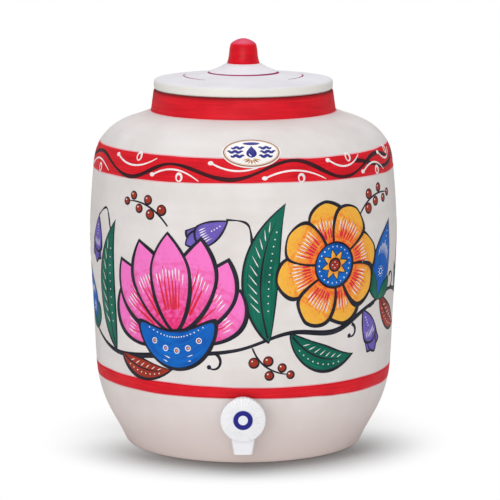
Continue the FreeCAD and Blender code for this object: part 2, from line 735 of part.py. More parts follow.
def tap_knob():
    """Fluted dial with a square socket in its hub and a recess for its cap in front."""
    blank = turned_polygon([
        at(0, HUB_BACK),
        at(HUB_RADIUS, HUB_BACK),
        at(HUB_RADIUS, DIAL_WEB_BACK),
        at(DIAL_RECESS_RADIUS, DIAL_WEB_BACK),
        at(DIAL_RECESS_RADIUS, DIAL_BACK),
        at(DIAL_RADIUS, DIAL_BACK),
        at(DIAL_RADIUS, DIAL_FRONT),
        at(CAP_RADIUS, DIAL_FACE),
        at(0, DIAL_FACE),
    ])
    blank = rounded(blank, DIAL_EDGE_ROUND, DIAL_RADIUS, DIAL_FRONT)
    blank = rounded(blank, DIAL_EDGE_ROUND, DIAL_RADIUS, DIAL_BACK)
    half = SQUARE_WIDTH / 2 + SOCKET_GAP
    socket_length = SQUARE_END + SOCKET_GAP - HUB_BACK + OVERSHOOT
    socket = Part.makeBox(
        2 * half, 2 * half, socket_length, Vector(-half, -half, HUB_BACK - OVERSHOOT))
    return blank.cut(flutes() + [
        socket,
        rod(SCREW_RADIUS + SCREW_HEAD_GAP, SQUARE_END - OVERSHOOT, DIAL_FACE),
        rod(SCREW_HEAD_RADIUS + SCREW_HEAD_GAP, SCREW_SEAT, DIAL_FACE + OVERSHOOT),
        rod(CAP_RADIUS + CAP_GAP, CAP_SEAT, DIAL_FACE + OVERSHOOT),
    ])


def knob_screw():
    """Cross-slot screw that holds the knob on the plug's square."""
    top = SCREW_SEAT + SCREW_HEAD_HEIGHT
    screw = rod(SCREW_HEAD_RADIUS, SCREW_SEAT, top).fuse(
        rod(SCREW_RADIUS, SCREW_SEAT - SCREW_LENGTH, SCREW_SEAT))
    slot_corner = Vector(-SCREW_RADIUS, -SCREW_SLOT_WIDTH / 2, top - SCREW_SLOT_DEPTH)
    slots = []
    for turn in (0, 90):
        slot = Part.makeBox(
            2 * SCREW_RADIUS, SCREW_SLOT_WIDTH, SCREW_SLOT_DEPTH + OVERSHOOT, slot_corner)
        slot.rotate(ORIGIN, AXIS, turn)
        slots.append(slot)
    return screw.cut(slots)


def knob_cap():
    """Disc pressed into the knob's recess, with a spigot that reaches towards the screw."""
    spigot_radius = SCREW_HEAD_RADIUS + SCREW_HEAD_GAP - CAP_GAP
    spigot = tube(
        spigot_radius, spigot_radius - CAP_SPIGOT_WALL, CAP_SEAT - CAP_SPIGOT_LENGTH, CAP_SEAT)
    return rod(CAP_RADIUS, CAP_SEAT, CAP_SEAT + CAP_THICKNESS).fuse(spigot)


def cap_label():
    face = CAP_SEAT + CAP_THICKNESS
    return tube(CAP_LABEL_OUTER_RADIUS, CAP_LABEL_INNER_RADIUS, face, face + CAP_LABEL_THICKNESS)


# ---------------------------------------------------------------- assembly
def main():
    outline = spline(outline_points())
    inner = inner_outline(outline)
    outer_seat, inner_seat = tap_seats(outline, inner)
    seat_depth = outer_seat - inner_seat
    tap_place = FreeCAD.Placement(
        Vector(0, -outer_seat, TAP_HEIGHT), FreeCAD.Rotation(Vector(1, 0, 0), 90))
    rear_place, front_place = oring_places()
    pieces = {
        "pot_body": pot_body(outline, inner, outer_seat, inner_seat),
        "pot_label": pot_label(outline),
        "lid": lid(),
        "lid_knob": lid_knob(),
    }
    tap_pieces = {
        "tap_body": tap_body(seat_depth),
        "outer_gasket": outer_gasket(),
        "inner_gasket": inner_gasket(seat_depth),
        "back_washer": back_washer(seat_depth),
        "back_nut": back_nut(seat_depth),
        "valve_plug": valve_plug(),
        "rear_o_ring": o_ring(rear_place),
        "front_o_ring": o_ring(front_place),
        "outlet_seal": outlet_seal(),
        "thrust_washer": thrust_washer(),
        "bonnet_ring": bonnet_ring(),
        "tap_knob": tap_knob(),
        "knob_screw": knob_screw(),
        "knob_cap": knob_cap(),
        "cap_label": cap_label(),
    }
    for name, shape in tap_pieces.items():
        shape.Placement = tap_place.multiply(shape.Placement)
        pieces[name] = shape
    os.makedirs("parts", exist_ok=True)
    for name, shape in pieces.items():
        solids = len(shape.Solids)
        print(f"{name}: {solids} solid, valid {shape.isValid()}, {shape.Volume / 1000:.2f} cm3")
        shape.exportStep(f"parts/{name}.step")


main()
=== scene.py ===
"""Looks for the clay water pot: slip-covered clay, brushed red bands, painted flowers and a plastic tap."""

import math
import random

import bmesh
import bpy
from mathutils import Matrix, Vector


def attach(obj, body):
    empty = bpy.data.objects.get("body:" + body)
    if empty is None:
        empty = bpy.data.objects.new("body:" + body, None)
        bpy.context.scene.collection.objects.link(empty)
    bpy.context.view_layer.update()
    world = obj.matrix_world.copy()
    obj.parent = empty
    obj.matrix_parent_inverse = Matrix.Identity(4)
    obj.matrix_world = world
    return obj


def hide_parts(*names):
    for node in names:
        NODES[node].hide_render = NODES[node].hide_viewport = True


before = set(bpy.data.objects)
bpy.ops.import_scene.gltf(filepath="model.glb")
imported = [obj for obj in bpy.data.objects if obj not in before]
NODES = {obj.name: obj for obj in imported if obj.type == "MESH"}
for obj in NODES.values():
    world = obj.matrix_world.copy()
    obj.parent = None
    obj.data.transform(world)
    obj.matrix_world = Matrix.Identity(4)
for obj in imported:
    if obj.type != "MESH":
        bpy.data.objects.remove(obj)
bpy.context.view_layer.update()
rng = random.Random(11)
TAU = 2 * math.pi

# ------------------------------------------------------------------ sizes, millimetres
# The pot's outer outline, from the foot to the collar, as radius and height.
OUTLINE = [
    (104.0, 0.0), (111.4, 15.0), (119.6, 30.0), (129.3, 60.0), (131.0, 78.0), (132.8, 120.0),
    (135.3, 200.0), (132.6, 240.0), (127.4, 265.0), (109.1, 283.0), (92.7, 289.2), (81.0, 293.7),
]
WALL = 9.0
FLOOR = 11.0
FLOOR_RADIUS = 88.0
COLLAR_FOOT = (81.0, 293.7)
COLLAR_TOP = (78.4, 312.6)
RIM_ROUND = 3.0
RIM_CENTRE = (COLLAR_TOP[0] - 2.6, COLLAR_TOP[1] - RIM_ROUND)
NECK_RADIUS = 70.0
NECK_ROUND = 1.5
TAP_HEIGHT = 49.9
SEAT_OUTER = 130.35
SEAT_INNER = 111.07
BOSS_RADIUS = 14.0
BOSS_HOLE = 11.0
BOSS_ROUND = 1.0

# The painter's chart is a cylinder round the pot. The paint lies on it in thin layers, and the clay
# is set in by PAINT_ROOM, so that the paint stays inside the solids' box.
CHART_RADIUS = 134.0
ROUND = TAU * CHART_RADIUS
DEGREE = ROUND / 360
PAINT_ROOM = 0.2
PAINT_LIFT = 0.08
LAYER = 0.013
PAINT_THICKNESS = 0.3
PRINT_THICKNESS = 0.15
STROKE_CELL = 2.7
THINNEST = 0.02
SPECK = 0.62


# ------------------------------------------------------------------ smooth outline
def natural_spline(knots, values):
    """Second derivatives of the natural cubic spline."""
    count = len(knots)
    gap = [b - a for a, b in zip(knots, knots[1:])]
    diag, right = [1.0] * count, [0.0] * count
    upper = [0.0] * count
    for i in range(1, count - 1):
        lower = gap[i - 1]
        diag[i] = 2 * (gap[i - 1] + gap[i])
        upper[i] = gap[i]
        right[i] = 6 * ((values[i + 1] - values[i]) / gap[i] - (values[i] - values[i - 1]) / gap[i - 1])
        share = lower / diag[i - 1] if i > 1 else 0.0
        diag[i] -= share * upper[i - 1]
        right[i] -= share * right[i - 1]
    second = [0.0] * count
    for i in range(count - 2, 0, -1):
        second[i] = (right[i] - upper[i] * second[i + 1]) / diag[i]
    return second


def spline_value(knots, values, second, x):
    """The spline's value at x."""
    i = 0
    while i < len(knots) - 2 and x > knots[i + 1]:
        i += 1
    gap = knots[i + 1] - knots[i]
    a, b = (knots[i + 1] - x) / gap, (x - knots[i]) / gap
    bend = (a ** 3 - a) * second[i] + (b ** 3 - b) * second[i + 1]
    return a * values[i] + b * values[i + 1] + bend * gap * gap / 6


class Meridian:
    """The pot's outer outline, by arc length from the foot."""

    STEP = 0.5

    def __init__(self, points):
        knots = [0.0]
        for (r0, z0), (r1, z1) in zip(points, points[1:]):
            knots.append(knots[-1] + math.hypot(r1 - r0, z1 - z0))
        columns = [[p[0] for p in points], [p[1] for p in points]]
        seconds = [natural_spline(knots, c) for c in columns]
        count = int(knots[-1] / self.STEP)
        rows = [
            [spline_value(knots, c, s, knots[-1] * n / count) for c, s in zip(columns, seconds)]
            for n in range(count + 1)
        ]
        self.r = [row[0] for row in rows]
        self.z = [row[1] for row in rows]
        self.s = [0.0]
        for n in range(count):
            self.s.append(self.s[-1] + math.hypot(self.r[n + 1] - self.r[n], self.z[n + 1] - self.z[n]))
        self.n = []
        for n in range(count + 1):
            a, b = max(n - 1, 0), min(n + 1, count)
            dr, dz = self.r[b] - self.r[a], self.z[b] - self.z[a]
            length = math.hypot(dr, dz)
            self.n.append((dz / length, -dr / length))

    def place(self, table, value):
        """The row of the table below a value, and the share of the way to the next row."""
        low, high = 0, len(table) - 1
        while high - low > 1:
            middle = (low + high) // 2
            if table[middle] <= value:
                low = middle
            else:
                high = middle
        return low, (value - table[low]) / (table[high] - table[low])

    def arc(self, z):
        n, f = self.place(self.z, z)
        return self.s[n] + f * (self.s[n + 1] - self.s[n])

    def at(self, s, lift=0.0):
        """(radius, height) lifted off the surface along its normal."""
        n, f = self.place(self.s, s)
        nr = self.n[n][0] + f * (self.n[n + 1][0] - self.n[n][0])
        nz = self.n[n][1] + f * (self.n[n + 1][1] - self.n[n][1])
        r = self.r[n] + f * (self.r[n + 1] - self.r[n])
        z = self.z[n] + f * (self.z[n + 1] - self.z[n])
        return r + lift * nr, z + lift * nz


side = Meridian([(r - PAINT_ROOM, z) for r, z in OUTLINE])


def on_pot(u, z, lift):
    """A point of the painter's chart, u round the pot and z up it, as a point in space."""
    r, height = side.at(side.arc(z), lift)
    angle = u / CHART_RADIUS - math.pi / 2
    return Vector((r * math.cos(angle), r * math.sin(angle), height)) / 1000


# ------------------------------------------------------------------ materials
def srgb(r, g, b):
    """Linear colour of an 8-bit display colour."""
    shares = (r / 255, g / 255, b / 255)
    return tuple(c / 12.92 if c <= 0.04045 else ((c + 0.055) / 1.055) ** 2.4 for c in shares) + (1.0,)


class Shader:
    """A node material built with few words."""

    def __init__(self, name):
        self.material = bpy.data.materials.new(name)
        self.material.use_nodes = True
        self.tree = self.material.node_tree
        self.tree.nodes.clear()
        self.out = self.tree.nodes.new("ShaderNodeOutputMaterial")
        self.bsdf = self.tree.nodes.new("ShaderNodeBsdfPrincipled")
        self.tree.links.new(self.bsdf.outputs[0], self.out.inputs[0])

    def link(self, source, socket):
        if isinstance(source, bpy.types.NodeSocket):
            self.tree.links.new(source, socket)
        else:
            socket.default_value = source

    def node(self, kind, settings=(), **inputs):
        """A node with its settings. Its inputs go by name, or by place as i0, i1 and so on."""
        made = self.tree.nodes.new("ShaderNode" + kind)
        for key, value in dict(settings).items():
            setattr(made, key, value)
        for key, value in inputs.items():
            by_place = key[0] == "i" and key[1:].isdigit()
            self.link(value, made.inputs[int(key[1:]) if by_place else key.replace("_", " ")])
        return made

    def coords(self, scale, uv):
        source = self.node("TexCoord").outputs["UV" if uv else "Object"]
        return self.node("Mapping", i0=source, Scale=scale).outputs[0]

    def noise(self, scale, stretch=(1, 1, 1), *, detail, rough=0.55, uv=False):
        made = self.node(
            "TexNoise", Vector=self.coords(stretch, uv), Scale=scale, Detail=detail, Roughness=rough)
        return made.outputs[0]

    def ramp(self, value, low, high, start=0.0, end=1.0):
        made = self.node("MapRange", i0=value, i1=low, i2=high, i3=start, i4=end)
        return made.outputs[0]

    def mix(self, share, a, b):
        made = self.node("Mix", {"data_type": "RGBA"})
        self.link(share, made.inputs[0])
        self.link(a, made.inputs[6])
        self.link(b, made.inputs[7])
        return made.outputs[2]

    def by_height(self, colour, other, start, end, share=1.0):
        """Runs over into another colour between two heights, in metres."""
        height = self.node("SeparateXYZ", i0=self.node("TexCoord").outputs["Object"]).outputs[2]
        return self.mix(self.ramp(height, start, end, 0, share), colour, other)

    def math(self, operation, a, b):
        return self.node("Math", {"operation": operation}, i0=a, i1=b).outputs[0]

    def bump(self, height, strength, distance, below=None):
        made = self.node("Bump", Strength=strength, Distance=distance, Height=height)
        if below is not None:
            self.link(below, made.inputs["Normal"])
        return made.outputs[0]

    def finish(self, colour, roughness, normal=None, **extra):
        self.link(colour, self.bsdf.inputs["Base Color"])
        self.link(roughness, self.bsdf.inputs["Roughness"])
        if normal is not None:
            self.link(normal, self.bsdf.inputs["Normal"])
        for key, value in extra.items():
            self.link(value, self.bsdf.inputs[key.replace("_", " ")])
        return self.material


def clay(name, light, dark, tint):
    """Slip-covered clay: rings left by the wheel, mottling and fine grain."""
    s = Shader(name)
    mottle = s.noise(22, detail=4)
    rings = s.noise(9, (0.25, 0.25, 14), detail=4)
    grain = s.noise(900, detail=2)
    colour = s.mix(s.ramp(mottle, 0.35, 0.7), light, dark)
    colour = s.mix(s.ramp(rings, 0.45, 0.75, 0, 0.35), colour, dark)
    colour = s.by_height(colour, *tint)
    normal = s.bump(rings, 0.25, 0.0006)
    normal = s.bump(grain, 0.12, 0.0002, normal)
    return s.finish(colour, s.ramp(grain, 0.3, 0.7, 0.72, 0.9), normal, Specular_IOR_Level=0.25)


def brushed(name, light, dark, stretch=(1, 1, 26), scale=30, roughness=0.62, uv=False, tint=None):
    """Paint laid on with a brush: streaks along the stroke, thin and thick places."""
    s = Shader(name)
    streak = s.noise(scale, stretch, detail=5, rough=0.6, uv=uv)
    patch = s.noise(35, detail=3)
    share = s.math("ADD", s.ramp(streak, 0.35, 0.68, 0, 0.75), s.ramp(patch, 0.4, 0.7, 0, 0.3))
    colour = s.mix(share, light, dark)
    # A tint runs the colour over into another between two heights: on the collar it is painted shade, on the
    # knob a painted highlight.
    if tint:
        colour = s.by_height(colour, *tint)
    normal = s.bump(streak, 0.2, 0.0002)
    rough = s.ramp(patch, 0.3, 0.7, roughness - 0.08, roughness + 0.1)
    return s.finish(colour, rough, normal, Specular_IOR_Level=0.2)


def petal_paint(name, tip, base, reach):
    """Petal paint: the base colour runs out towards the tip in uneven streaks."""
    s = Shader(name)
    uv = s.node("SeparateXYZ", i0=s.node("TexCoord").outputs["UV"])
    streak = s.noise(7, (1.2, 0.5, 1), detail=4, uv=True)
    fine = s.noise(5, (7, 1, 1), detail=4, uv=True)
    along = s.math("ADD", uv.outputs[0], s.ramp(fine, 0.3, 0.7, -0.22, 0.22))
    share = s.ramp(along, reach - 0.28, reach + 0.22, 1, 0)
    colour = s.mix(share, tip, base)
    colour = s.mix(s.ramp(streak, 0.35, 0.7, 0, 0.16), colour, base)
    return s.finish(colour, 0.62, s.bump(fine, 0.15, 0.0002), Specular_IOR_Level=0.2)


def plastic(name, colour, roughness, texture=0.05, **extra):
    """Moulded plastic, rubber, print or plated metal: faint clouds and a fine grain."""
    s = Shader(name)
    cloud = s.noise(60, detail=2)
    grain = s.noise(1400, detail=2)
    shade = tuple(c * 0.93 for c in colour[:3]) + (1.0,)
    mixed = s.mix(s.ramp(cloud, 0.35, 0.7, 0, 0.6), colour, shade)
    rough = s.ramp(cloud, 0.3, 0.7, roughness - 0.04, roughness + 0.06)
    return s.finish(mixed, rough, s.bump(grain, texture, 0.0001), **extra)


MATERIALS = {
    # The clay runs darker and warmer towards the foot.
    "clay": clay("slip_clay", srgb(228, 223, 220), srgb(216, 209, 205), (srgb(217, 202, 197), 0.075, 0.0)),
    # The lid's side wall turns creamier than its top: painted light, standing in for the warmer light on the
    # side.
    "lid": clay(
        "lid_clay", srgb(230, 228, 231), srgb(220, 217, 221), (srgb(232, 230, 221), 0.3206, 0.319, 0.85)),
    "red": brushed("band_red", srgb(230, 22, 38), srgb(190, 8, 28)),
    "halo": brushed("thin_red_wash", srgb(238, 182, 188), srgb(232, 160, 168)),
    # The collar's red turns dark near its top: painted shade in the seam under the lid.
    "collar": brushed(
        "collar_red_painted_seam_shade", srgb(230, 22, 38), srgb(194, 10, 30), tint=(srgb(112, 6, 14), 0.3085, 0.3122)),
    # The knob's dome runs over into pink: a painted highlight of the light from above.
    "knob": brushed(
        "knob_red", srgb(232, 10, 32), srgb(196, 4, 28), (1, 1, 3), 70, 0.36,
        tint=(srgb(216, 74, 106), 0.3508, 0.3528, 0.8)),
    "black": brushed("outline_paint", srgb(37, 38, 50), srgb(17, 18, 28), (1, 1, 1), 90),
    "wave": brushed("wave_paint", srgb(40, 16, 22), srgb(74, 16, 26), (1, 1, 1), 90),
    "white": brushed("white_paint", srgb(246, 242, 240), srgb(228, 220, 218), (1, 1, 1), 120),
    "blue": brushed("royal_blue", srgb(0, 112, 204), srgb(0, 62, 148), (1, 5, 1), 4, uv=True),
    "green": brushed("emerald", srgb(0, 118, 92), srgb(0, 64, 56), (1, 6, 1), 5, uv=True),
    "violet": brushed("violet", srgb(122, 104, 196), srgb(84, 66, 150), (1, 6, 1), 5, uv=True),
    "rust": brushed("rust", srgb(176, 56, 32), srgb(120, 34, 28), (1, 6, 1), 5, uv=True),
    "gold": petal_paint("gold_petal", srgb(240, 182, 66), srgb(238, 84, 36), 0.5),
    "pink": petal_paint("pink_petal", srgb(242, 122, 200), srgb(226, 42, 112), 0.42),
    "deep": brushed("deep_stroke", srgb(214, 28, 74), srgb(226, 52, 40), (1, 5, 1), 5, uv=True),
    "label": plastic("label_white", srgb(244, 241, 238), 0.4),
    "navy": plastic("label_navy", srgb(24, 22, 130), 0.45),
    "bronze": plastic("label_bronze", srgb(150, 96, 62), 0.45),
    "ochre": plastic("label_ochre", srgb(214, 150, 74), 0.45),
    "purple": brushed("purple_line", srgb(176, 40, 96), srgb(120, 34, 84), (1, 1, 1), 90),
}


# ------------------------------------------------------------------ making pieces
SHARP_ANGLE = math.radians(35)
WELD = 2e-7
SLIVER = 1e-7


def put(name, data):
    """A new object in the scene."""
    made = bpy.data.objects.new(name, data)
    bpy.context.scene.collection.objects.link(made)
    return made


def to_piece(bm, name, material, body="pot"):
    """Makes a bmesh a smooth piece with sharp corners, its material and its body."""
    bmesh.ops.remove_doubles(bm, verts=bm.verts, dist=WELD)
    bmesh.ops.dissolve_degenerate(bm, edges=bm.edges, dist=SLIVER)
    bmesh.ops.recalc_face_normals(bm, faces=bm.faces)
    mesh = bpy.data.meshes.new(name)
    bm.to_mesh(mesh)
    bm.free()
    for polygon in mesh.polygons:
        polygon.use_smooth = True
    mesh.set_sharp_from_angle(angle=SHARP_ANGLE)
    mesh.materials.append(material)
    piece = put(name, mesh)
    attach(piece, body)
    return piece


def thicken(piece, thickness):
    """Gives a sheet its thickness in millimetres, inwards from its face."""
    skin = piece.modifiers.new("thickness", "SOLIDIFY")
    skin.thickness = thickness / 1000
    skin.offset = -1


def turned(profile, steps, closed):
    """A bmesh turned from (radius, height) points. A closed profile runs back to its first point."""
    bm = bmesh.new()
    verts = [bm.verts.new((r / 1000, 0, z / 1000)) for r, z in profile]
    pairs = list(zip(verts, verts[1:])) + ([(verts[-1], verts[0])] if closed else [])
    edges = [bm.edges.new(pair) for pair in pairs]
    bmesh.ops.spin(
        bm, geom=verts + edges, cent=(0, 0, 0), axis=(0, 0, 1), angle=TAU, steps=steps, use_merge=True)
    return bm


def spun(name, profile, material, steps, body="pot", closed=False):
    """A turned piece from (radius, height) points."""
    return to_piece(turned(profile, steps, closed), name, material, body)


def arc_points(centre, radius, start, end, count):
    """Points of a round edge, angles in degrees."""
    turns = [math.radians(start + (end - start) * n / count) for n in range(count + 1)]
    return [(centre[0] + radius * math.cos(a), centre[1] + radius * math.sin(a)) for a in turns]


def pot_profile():
    """The clay's section, from the middle of the underside over the rim to the middle of the inner floor."""
    total = side.s[-1]
    points = [(0.0, 0.0), (60.0, 0.0), (96.0, 0.0), (102.0, 0.0), (103.1, 0.2), (103.9, 0.9)]
    start, count = 2.2, 118
    points += [side.at(start + (total - start) * n / count) for n in range(count + 1)]
    points += [(80.6, 296.5), (80.1, 300.0), (79.6, 304.0), (79.1, 307.6)]
    points += arc_points(RIM_CENTRE, RIM_ROUND, 8, 90, 6)
    points += arc_points((NECK_RADIUS + NECK_ROUND, COLLAR_TOP[1] - NECK_ROUND), NECK_ROUND, 90, 180, 4)
    points += [(NECK_RADIUS, 300.0), (NECK_RADIUS, 288.0), (70.6, 285.9), (73.0, 284.4)]
    start, end, count = total - 6.0, 20.0, 76
    inner = [side.at(start - (start - end) * n / count, -WALL) for n in range(count + 1)]
    points += [(r, z) for r, z in inner if z > FLOOR + 14]
    corner_r, corner_z = points[-1]
    for n in range(1, 9):
        turn = math.radians(90 * n / 8)
        points.append((
            corner_r - (corner_r - FLOOR_RADIUS) * (1 - math.cos(turn)),
            FLOOR + (corner_z - FLOOR) * (1 - math.sin(turn))))
    points += [(60.0, FLOOR), (30.0, FLOOR), (0.0, FLOOR)]
    return points


pot = spun("pot_shell", pot_profile(), MATERIALS["clay"], 216)
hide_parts("pot_body")


def boss_piece():
    """The clay pad round the tap's hole, with a flat seat inside and outside the wall."""
    edge = BOSS_RADIUS - BOSS_ROUND
    section = [(BOSS_HOLE, SEAT_INNER)]
    section += arc_points((edge, SEAT_INNER + BOSS_ROUND), BOSS_ROUND, -90, 0, 3)
    section += arc_points((edge, SEAT_OUTER - BOSS_ROUND), BOSS_ROUND, 0, 90, 3) + [(BOSS_HOLE, SEAT_OUTER)]
    bm = turned(section, 64, True)
    bmesh.ops.rotate(bm, verts=bm.verts, cent=(0, 0, 0), matrix=Matrix.Rotation(math.pi / 2, 3, "X"))
    bmesh.ops.translate(bm, verts=bm.verts, vec=(0, 0, TAP_HEIGHT / 1000))
    to_piece(bm, "tap_boss", MATERIALS["clay"])


boss_piece()


# ------------------------------------------------------------------ brush strokes
class Paint:
    """Brush strokes, with one mesh for each colour. A stroke is a grid laid on a chart and so on the pot."""

    SAMPLES = 12

    def __init__(self, surface=on_pot):
        self.meshes = {}
        self.surface = surface

    def mesh(self, colour):
        """The colour's bmesh, with a UV map that runs along each stroke."""
        if colour not in self.meshes:
            bm = bmesh.new()
            bm.loops.layers.uv.new("stroke")
            self.meshes[colour] = bm
        return self.meshes[colour]

    def stroke(self, colour, path, half_width, level, even=False, cell=STROKE_CELL, least=6):
        """One stroke. Its steps are even, or closer together at the ends, which are then rounder."""
        shares = [n / self.SAMPLES for n in range(self.SAMPLES + 1)]
        samples = [path(share) for share in shares]
        length = sum(math.dist(p, q) for p, q in zip(samples, samples[1:]))
        widest = max(half_width(share) for share in shares)
        steps = max(least, math.ceil(length / cell * (1 if even else 1.5)))
        across = max(2, math.ceil(2 * widest / cell))
        grid = bmesh.ops.create_grid(
            self.mesh(colour), x_segments=steps, y_segments=across, size=0.5, calc_uvs=True)
        for v in grid["verts"]:
            x, y = v.co.x + 0.5, 2 * v.co.y
            t = x if even else (1 - math.cos(math.pi * x)) / 2
            u, z = side_point(path, lambda k: max(half_width(k), THINNEST), t, y)
            v.co = self.surface(u, z, PAINT_LIFT + LAYER * level)

    def pieces(self, prefix="paint_", thickness=PAINT_THICKNESS):
        """Makes each colour's strokes one piece."""
        for colour, bm in sorted(self.meshes.items()):
            thicken(to_piece(bm, prefix + colour, MATERIALS[colour]), thickness)


paint = Paint()


def side_point(path, half_width, t, share):
    """A point of a stroke, by its place along the length and across the width."""
    nudge = 0.004
    u, z = path(t)
    u0, z0 = path(t - nudge)
    u1, z1 = path(t + nudge)
    du, dz = u1 - u0, z1 - z0
    length = math.hypot(du, dz) or 1.0
    w = share * half_width(t)
    return u - dz / length * w, z + du / length * w


def shape(peak, base, tip):
    """Half-width along a petal or leaf, as a share of its widest. The powers shape its two ends: 0.5 is
    round, 1 is pointed and 1.6 is drawn out."""
    def share(t):
        t = min(max(t, 0.0), 1.0)
        if t < peak:
            return math.sin(math.pi / 2 * t / peak) ** base
        return max(math.cos(math.pi / 2 * (t - peak) / (1 - peak)), 0.0) ** tip
    return share


def bend(p0, p1, p2):
    """A curved line from p0 to p2, pulled towards p1. It also runs on a little past both ends."""
    def point(t):
        a, b, c = (1 - t) ** 2, 2 * t * (1 - t), t * t
        return a * p0[0] + b * p1[0] + c * p2[0], a * p0[1] + b * p1[1] + c * p2[1]
    return point


def polar(centre, radius, degrees):
    a = math.radians(degrees)
    return centre[0] + radius * math.cos(a), centre[1] + radius * math.sin(a)


def oval_width(width):
    """Half-width along a stroke that is an oval. The given width is that of the whole oval."""
    return lambda t: width * math.sqrt(max(t * (1 - t), 0.0))


def straight(a, b):
    return lambda t: (a[0] + (b[0] - a[0]) * t, a[1] + (b[1] - a[1]) * t)


def blade(colour, p0, p1, p2, width, level, form, edge, shift=0.5):
    """A petal, leaf or bud with a dark outline as wide as edge. The outline is moved by up to shift, as a
    quick hand leaves it. Returns a function that finds points on the form."""
    path = bend(p0, p1, p2)
    grow = edge / math.dist(p0, p2)
    drift = rng.uniform(0, TAU)
    lean = polar((0, 0), shift * rng.uniform(0.5, 1.0), rng.uniform(200, 380))

    def outline(t):
        u, z = path(-grow + (1 + 2.1 * grow) * t)
        return u + lean[0], z + lean[1]

    paint.stroke(
        "black", outline,
        lambda t: (width / 2 + edge * (1 + 0.28 * math.sin(6 * t + drift))) * form(t), level, least=10)

    def half(t):
        return width / 2 * form(t)

    paint.stroke(colour, path, half, level + 1, least=10)
    return lambda t, share: side_point(path, half, t, share)


def line(colour, path, width, level, ends):
    """A tapered line: the shares of its width that are left at its two ends."""
    def half(t):
        t = min(max(t, 0.0), 1.0)
        return width / 2 * (ends[0] * (1 - t) ** 3 + ends[1] * t ** 3 + 3 * t * (1 - t)) ** 0.8
    paint.stroke(colour, path, half, level, True)


def streak(colour, a, b, width, level, least=4):
    """A flick of the brush: thick where it starts, thin where it leaves."""
    paint.stroke(
        colour, straight(a, b), lambda t: width / 2 * (1.03 - t) ** 0.7 * min(1, 0.5 + 8 * t), level, True,
        least=least)


def dot(colour, centre, radius, level, squash=1.0):
    """A round dab, or a flat one with a squash under 1."""
    u, z = centre
    paint.stroke(
        colour, lambda t: (u - radius + 2 * radius * t, z), oval_width(squash * 2 * radius), level,
        least=5 if radius < 1.5 else 14)


def ring(colour, centre, radius, width, level):
    u, z = centre
    drift = rng.uniform(0, TAU)
    paint.stroke(
        colour, lambda t: (u + radius * math.cos(TAU * t + drift), z + radius * math.sin(TAU * t + drift)),
        lambda t: width / 2, level, True, least=12)


def hatch(spot, level, t0, t1, low, high, count):
    """A comb of short white strokes across a petal."""
    for n in range(count):
        share = low + (high - low) * n / max(count - 1, 1)
        bow = 0.05 * (1 - (2 * n / max(count - 1, 1) - 1) ** 2)
        a = spot(t0 + bow + rng.uniform(-0.012, 0.012), share)
        b = spot(t1 + bow + rng.uniform(-0.03, 0.03), share * 1.06)
        streak("white", b, a, 1.25 * rng.uniform(0.85, 1.15), level, 3)


def dots_along(spot, level, t0, t1, share, count):
    """A row of specks along a petal, at one share of its half-width."""
    for n in range(count):
        dot("white", spot(t0 + (t1 - t0) * n / max(count - 1, 1), share), SPECK, level)


def dotted_ring(centre, radius, count, level, size=SPECK):
    for n in range(count):
        dot("white", polar(centre, radius, 360 * n / count), size * rng.uniform(0.85, 1.15), level)


def flicks(spot, level, count, start, reach, width):
    """Red flicks that run out along a petal."""
    for n in range(count):
        share = -0.62 + 1.24 * n / (count - 1) + rng.uniform(-0.05, 0.05)
        far = reach * (1 - 0.22 * abs(share)) * rng.uniform(0.84, 1.1)
        streak("deep", spot(start, share * 0.8), spot(far, share), width * rng.uniform(0.7, 1.3), level)


def open_flower(centre, radius, petals, turn, colour, level):
    """A round flower seen from the front, with broad petals and a ringed heart."""
    heart = radius * 0.36
    form = shape(0.66, 0.75, 0.62)
    for n in list(range(0, petals, 2)) + list(range(1, petals, 2)):
        angle = turn + 360 * n / petals + rng.uniform(-4, 4)
        p1 = polar(centre, radius * 0.7, angle + rng.uniform(-7, 7))
        p2 = polar(centre, radius * rng.uniform(0.94, 1.06), angle)
        here = level + 4 * (n % 2)
        spot = blade(
            colour, polar(centre, heart * 0.4, angle), p1, p2, radius * 0.64 * 8 / petals, here, form,
            rng.uniform(2.6, 3.6), 0.8)
        flicks(spot, here + 2, 6, 0.3, 0.74, 1.9)
        hatch(spot, here + 3, 0.40, 0.60, -0.66, 0.66, 8)
    top = level + 8
    dot("black", (centre[0] + 0.5, centre[1] - 0.4), heart + 2.0, top)
    dot("blue", centre, heart, top + 1)
    dotted_ring(centre, heart * 0.86, 22, top + 2)
    for n in range(8):
        angle = 45 * n + turn
        a, b = polar(centre, heart * 0.22, angle), polar(centre, heart * 0.7, angle)
        blade("gold", a, a, b, heart * 0.28, top + 2 + 0.5 * (n % 2), shape(0.5, 0.8, 0.9), 0.7, 0.0)
    dot("black", centre, heart * 0.34, top + 4)
    dot("rust", centre, heart * 0.25, top + 5)
    dotted_ring(centre, heart * 0.13, 4, top + 6, 0.5)


